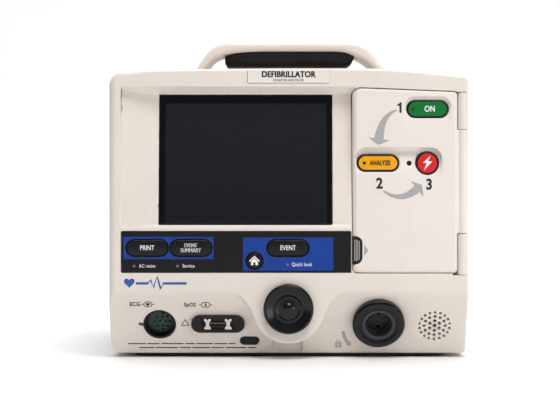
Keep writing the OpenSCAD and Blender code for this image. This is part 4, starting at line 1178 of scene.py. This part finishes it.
def build_case_printing():
    """The nameplate with its words, and the pulse line with a heart."""
    low, high = PLATE_LO, PLATE_HI
    plate = film([rect_points((low[0], low[2]), (high[0], high[2]), 0.8)], 0.7, 0.15)
    piece = assembled("name_plate", [plate], front_place(low[1] + 0.35))
    dress(piece, "case", DOOR_FINISH, "nameplate", "nameplate")
    face = front_place(low[1] - 0.02)
    printed("name_words", "case", BLACK_INK, face,
            *[words("DEFIBRILLATOR", 4.3, (shift, 202.5), 0.88, 0.15) for shift in (-0.11, 0.11)],
            words("MONITOR AND PACER", 1.9, (0, 198.4)))
    body = front_place(Y_FRONT - 0.02)
    pulse = line([(-108.5, 54.0), (-100, 54.0), (-98, 56.4), (-96, 51.2), (-93.5, 58.8), (-90.8, 50.0),
                  (-89, 54.0), (-72.5, 54.0)], 1.7)
    printed("pulse_sign", "case", BLUE_INK, body, shape(pulse),
            shape(heart((-113.2, 54.6), 0.24, 30)))


def socket_label(name, place, word, ring_u, ring_width, dashes, dash, *sign):
    """A socket's word, and its sign in a pill-shaped ring between two dashes."""
    text, cap, word_u, weight = word
    ring = shape(*[pill_points((ring_u, 0), grown((ring_width, 4.4), -by)) for by in (0, 1.1)])
    strokes = [shape(rect_points((u, -0.3), (u + dash, 0.3), 0.1)) for u in dashes]
    printed(name, "case", BLACK_INK, place, words(text, cap, (word_u, 0), 0.84, weight, "LEFT"), ring,
            *strokes, *sign)


def build_chin_printing():
    """The chin's printing: the sockets' labels, a triangle, rows of bars and the lock's signs."""
    lift = 0.03
    socket_label("ecg_label", chin_place((ECG[0], 38.9), lift), ("ECG", 3.3, -21.0, 0.14),
                 -8.0, 6.4, (-12.7, -4.6), 1.3, shape(heart((-8.0, 0), 0.095, 24, 0)))
    socket_label("oxygen_label", chin_place((-64, 38.5), lift), ("SpO2", 3.1, -10.6, 0.13),
                 4.9, 6.6, (0.2, 8.4), 1.2,
                 shape(circle_points((4.9, 0.75), 0.5, 14)), shape(rect_points((4.2, -1.1), (5.6, 0.2), 0.5)))
    outer = [(-3.1, -2.6), (3.1, -2.6), (0, 2.9)]
    inner = [(-2.2, -2.1), (2.2, -2.1), (0, 1.9)]
    printed("triangle_sign", "case", BLACK_INK, chin_place((-74.1, 25.4), lift), shape(outer, inner))
    bars = []
    for v, u, widths in ((1.6, -53.9, (13, 9, 16, 7, 12, 9, 5)), (-1.7, -45.8, (11, 16, 8, 13, 9, 15, 6))):
        for width in widths:
            bars.append(shape(rect_points((u, v - 0.42), (u + width, v + 0.42), 0.2)))
            u += width + 1.1
    printed("small_print", "case", GREY, chin_place((-62, 8.2), lift), *bars)
    arrow = swept_arrow(bend((39.4, 20.4), (40.0, 14.8), (43.4, 11.4)), 2.5, 2.5, 2.8, 2.5)
    body = rect_points((33.7, 8.2), (38.5, 12.2), 0.5)
    keyhole = rect_points((35.7, 9.6), (36.5, 11.0), 0.3)
    shackle = line(arc((36.1, 12.2), 1.6, -5, 185, 10), 0.6)
    arrow, body, keyhole, shackle = ([(x - 40, (z - 15.4) / CHIN_COS) for x, z in loop]
                                     for loop in (arrow, body, keyhole, shackle))
    printed("lock_signs", "case", GREY_INK, chin_place((40, 14), lift), shape(arrow), shape(body, keyhole),
            shape(shackle))


build_door_printing()
build_case_printing()
build_chin_printing()


# ---- CAD parts that are kept as they are

SCREEN = finish("panel_back", (38, 40, 46), 0.4, 0.06, 20, 0.6, 0.02)
GREEN_INSERT = finish("green_insert", (10, 46, 34), 0.45, 0.1, 8, 0.5, 0.03, scuff=0.1)
BOARD = finish("circuit_board", (22, 92, 58), 0.5, 0.12, 9, 1.6, 0.06, speck=(196, 170, 92))
PAPER = finish("chart_paper", (244, 242, 236), 0.75, 0.015, 20, 0.5, 0.02)
ALUMINIUM = finish("aluminium_can", (186, 188, 192), 0.35, 0.05, 14, 0.5, 0.02, metallic=1.0,
                   brushed=(0.06, 1, 1))
PANEL_GREY = finish("panel_grey", (92, 92, 98), 0.5, 0.05, 25, 0.6, 0.04, scuff=0.1)
WRAP = finish("battery_wrap", (52, 56, 70), 0.45, 0.08, 22, 0.7, 0.03, scuff=0.12)

KEPT = {
    SCREEN: ("lcd_panel",),
    STEEL: ("lcd_bracket", "hinge_pin", "dial_shaft", "printer_chassis", "motor_gear", "printer_motor",
            "case_screws", "chassis_frame", "dial_encoder"),
    DARK_STEEL: ("spo2_shell",),
    BOARD: ("keypad_board", "control_board", "main_board", "power_supply"),
    GREEN_INSERT: ("ecg_insert",),
    PAPER: ("paper_roll",),
    ALUMINIUM: ("therapy_capacitor",),
    RUBBER: ("feet", "platen_roller"),
    WRAP: ("battery_pack",),
    PANEL_GREY: ("control_panel",),
    CASE_FINISH: ("battery_door", "printer_door"),
    DIAL_GLOSS: ("ir_window",),
}


def keep(node, look, edge=0.25):
    """Gives a CAD part its finish and softly rounded edges; its points stay where they are."""
    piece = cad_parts[node]
    piece.data.materials.clear()
    piece.data.materials.append(look)
    weld = piece.modifiers.new("weld", "WELD")
    weld.merge_threshold = 1e-6
    flat = piece.modifiers.new("flat", "DECIMATE")
    flat.decimate_type = "DISSOLVE"
    flat.angle_limit = math.radians(1.0)
    bevel = piece.modifiers.new("edge", "BEVEL")
    bevel.width = edge * MM
    bevel.segments = 2
    bevel.limit_method = "ANGLE"
    bevel.angle_limit = math.radians(40)
    bevel.harden_normals = True
    bevel.use_clamp_overlap = True


def build_kept():
    """Dresses every CAD part that no piece replaces."""
    named = {node: look for look, nodes in KEPT.items() for node in nodes}
    for node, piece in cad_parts.items():
        if not piece.hide_render:
            keep(node, named.get(node, BLACK))


build_kept()


# ---- stage, light and camera

SWEEP_COLOUR = (241.05, 241.05, 241.05)
FLOOR_REACH = 12.0
FLOOR_GAP = 0.0003
CURVE_START = 1.0
CURVE_R = 0.8


def build_stage():
    """A pale sweep: a flat floor that curves up behind the object."""
    bm = bmesh.new()
    outline = [(-FLOOR_REACH, 0)] + arc((CURVE_START, CURVE_R), CURVE_R, -90, 0, 9)
    outline.append((CURVE_START + CURVE_R, 3.0))
    rows = [[bm.verts.new((x, y, z - FLOOR_GAP)) for x in (-FLOOR_REACH, FLOOR_REACH)] for y, z in outline]
    for low, high in zip(rows, rows[1:]):
        bm.faces.new((low[0], low[1], high[1], high[0]))
    mesh = taken(bm, "sweep")
    mesh.shade_smooth()
    sweep = new_piece("sweep", mesh)
    mesh.materials.append(finish("sweep_paper", SWEEP_COLOUR, 0.8, 0.004, 300, 3, 0.01))


def area_light(name, at, aim, size, power):
    """A soft rectangular lamp that points at a place."""
    data = bpy.data.lights.new(name, "AREA")
    data.shape = "RECTANGLE"
    data.size, data.size_y = size
    data.energy = power
    lamp = new_piece(name, data)
    lamp.location = at
    lamp.rotation_euler = (Vector(aim) - Vector(at)).to_track_quat("-Z", "Y").to_euler()


def build_light():
    """A large soft key from above the camera, a low side light, and an even pale room."""
    area_light("key", (0.3, -1.0, 2.1), (0, -0.05, 0.1), (1.3, 0.9), 34.5)
    area_light("side", (0.85, -0.75, 0.15), (0.03, -0.1, 0.08), (0.45, 0.4), 2.0)
    area_light("top", (0, 0.6, 2.3), (0, 0.52, 0.2), (2.4, 1.6), 38)
    world = bpy.data.worlds.new("room")
    bpy.context.scene.world = world
    world.use_nodes = True
    world.node_tree.nodes["Background"].inputs["Color"].default_value = (1, 1, 1, 1)
    world.node_tree.nodes["Background"].inputs["Strength"].default_value = 0.23


# The camera stands level with the middle of the case, this far in front of its face, in metres.
CAMERA_REACH = 1.1
CAMERA_X = -0.00604
CAMERA_Z = 0.1126
LENS = 99.45


def build_camera():
    """The view from straight ahead, a little over a metre from the face."""
    data = bpy.data.cameras.new("camera")
    data.sensor_width = 36
    data.lens = LENS
    data.dof.use_dof = False
    camera = new_piece("camera", data)
    camera.location = (CAMERA_X, Y_FRONT * MM - CAMERA_REACH, CAMERA_Z)
    camera.rotation_euler = (math.radians(90), 0, 0)
    bpy.context.scene.camera = camera


build_stage()
build_light()
build_camera()
bpy.context.scene.view_settings.view_transform = "Standard"
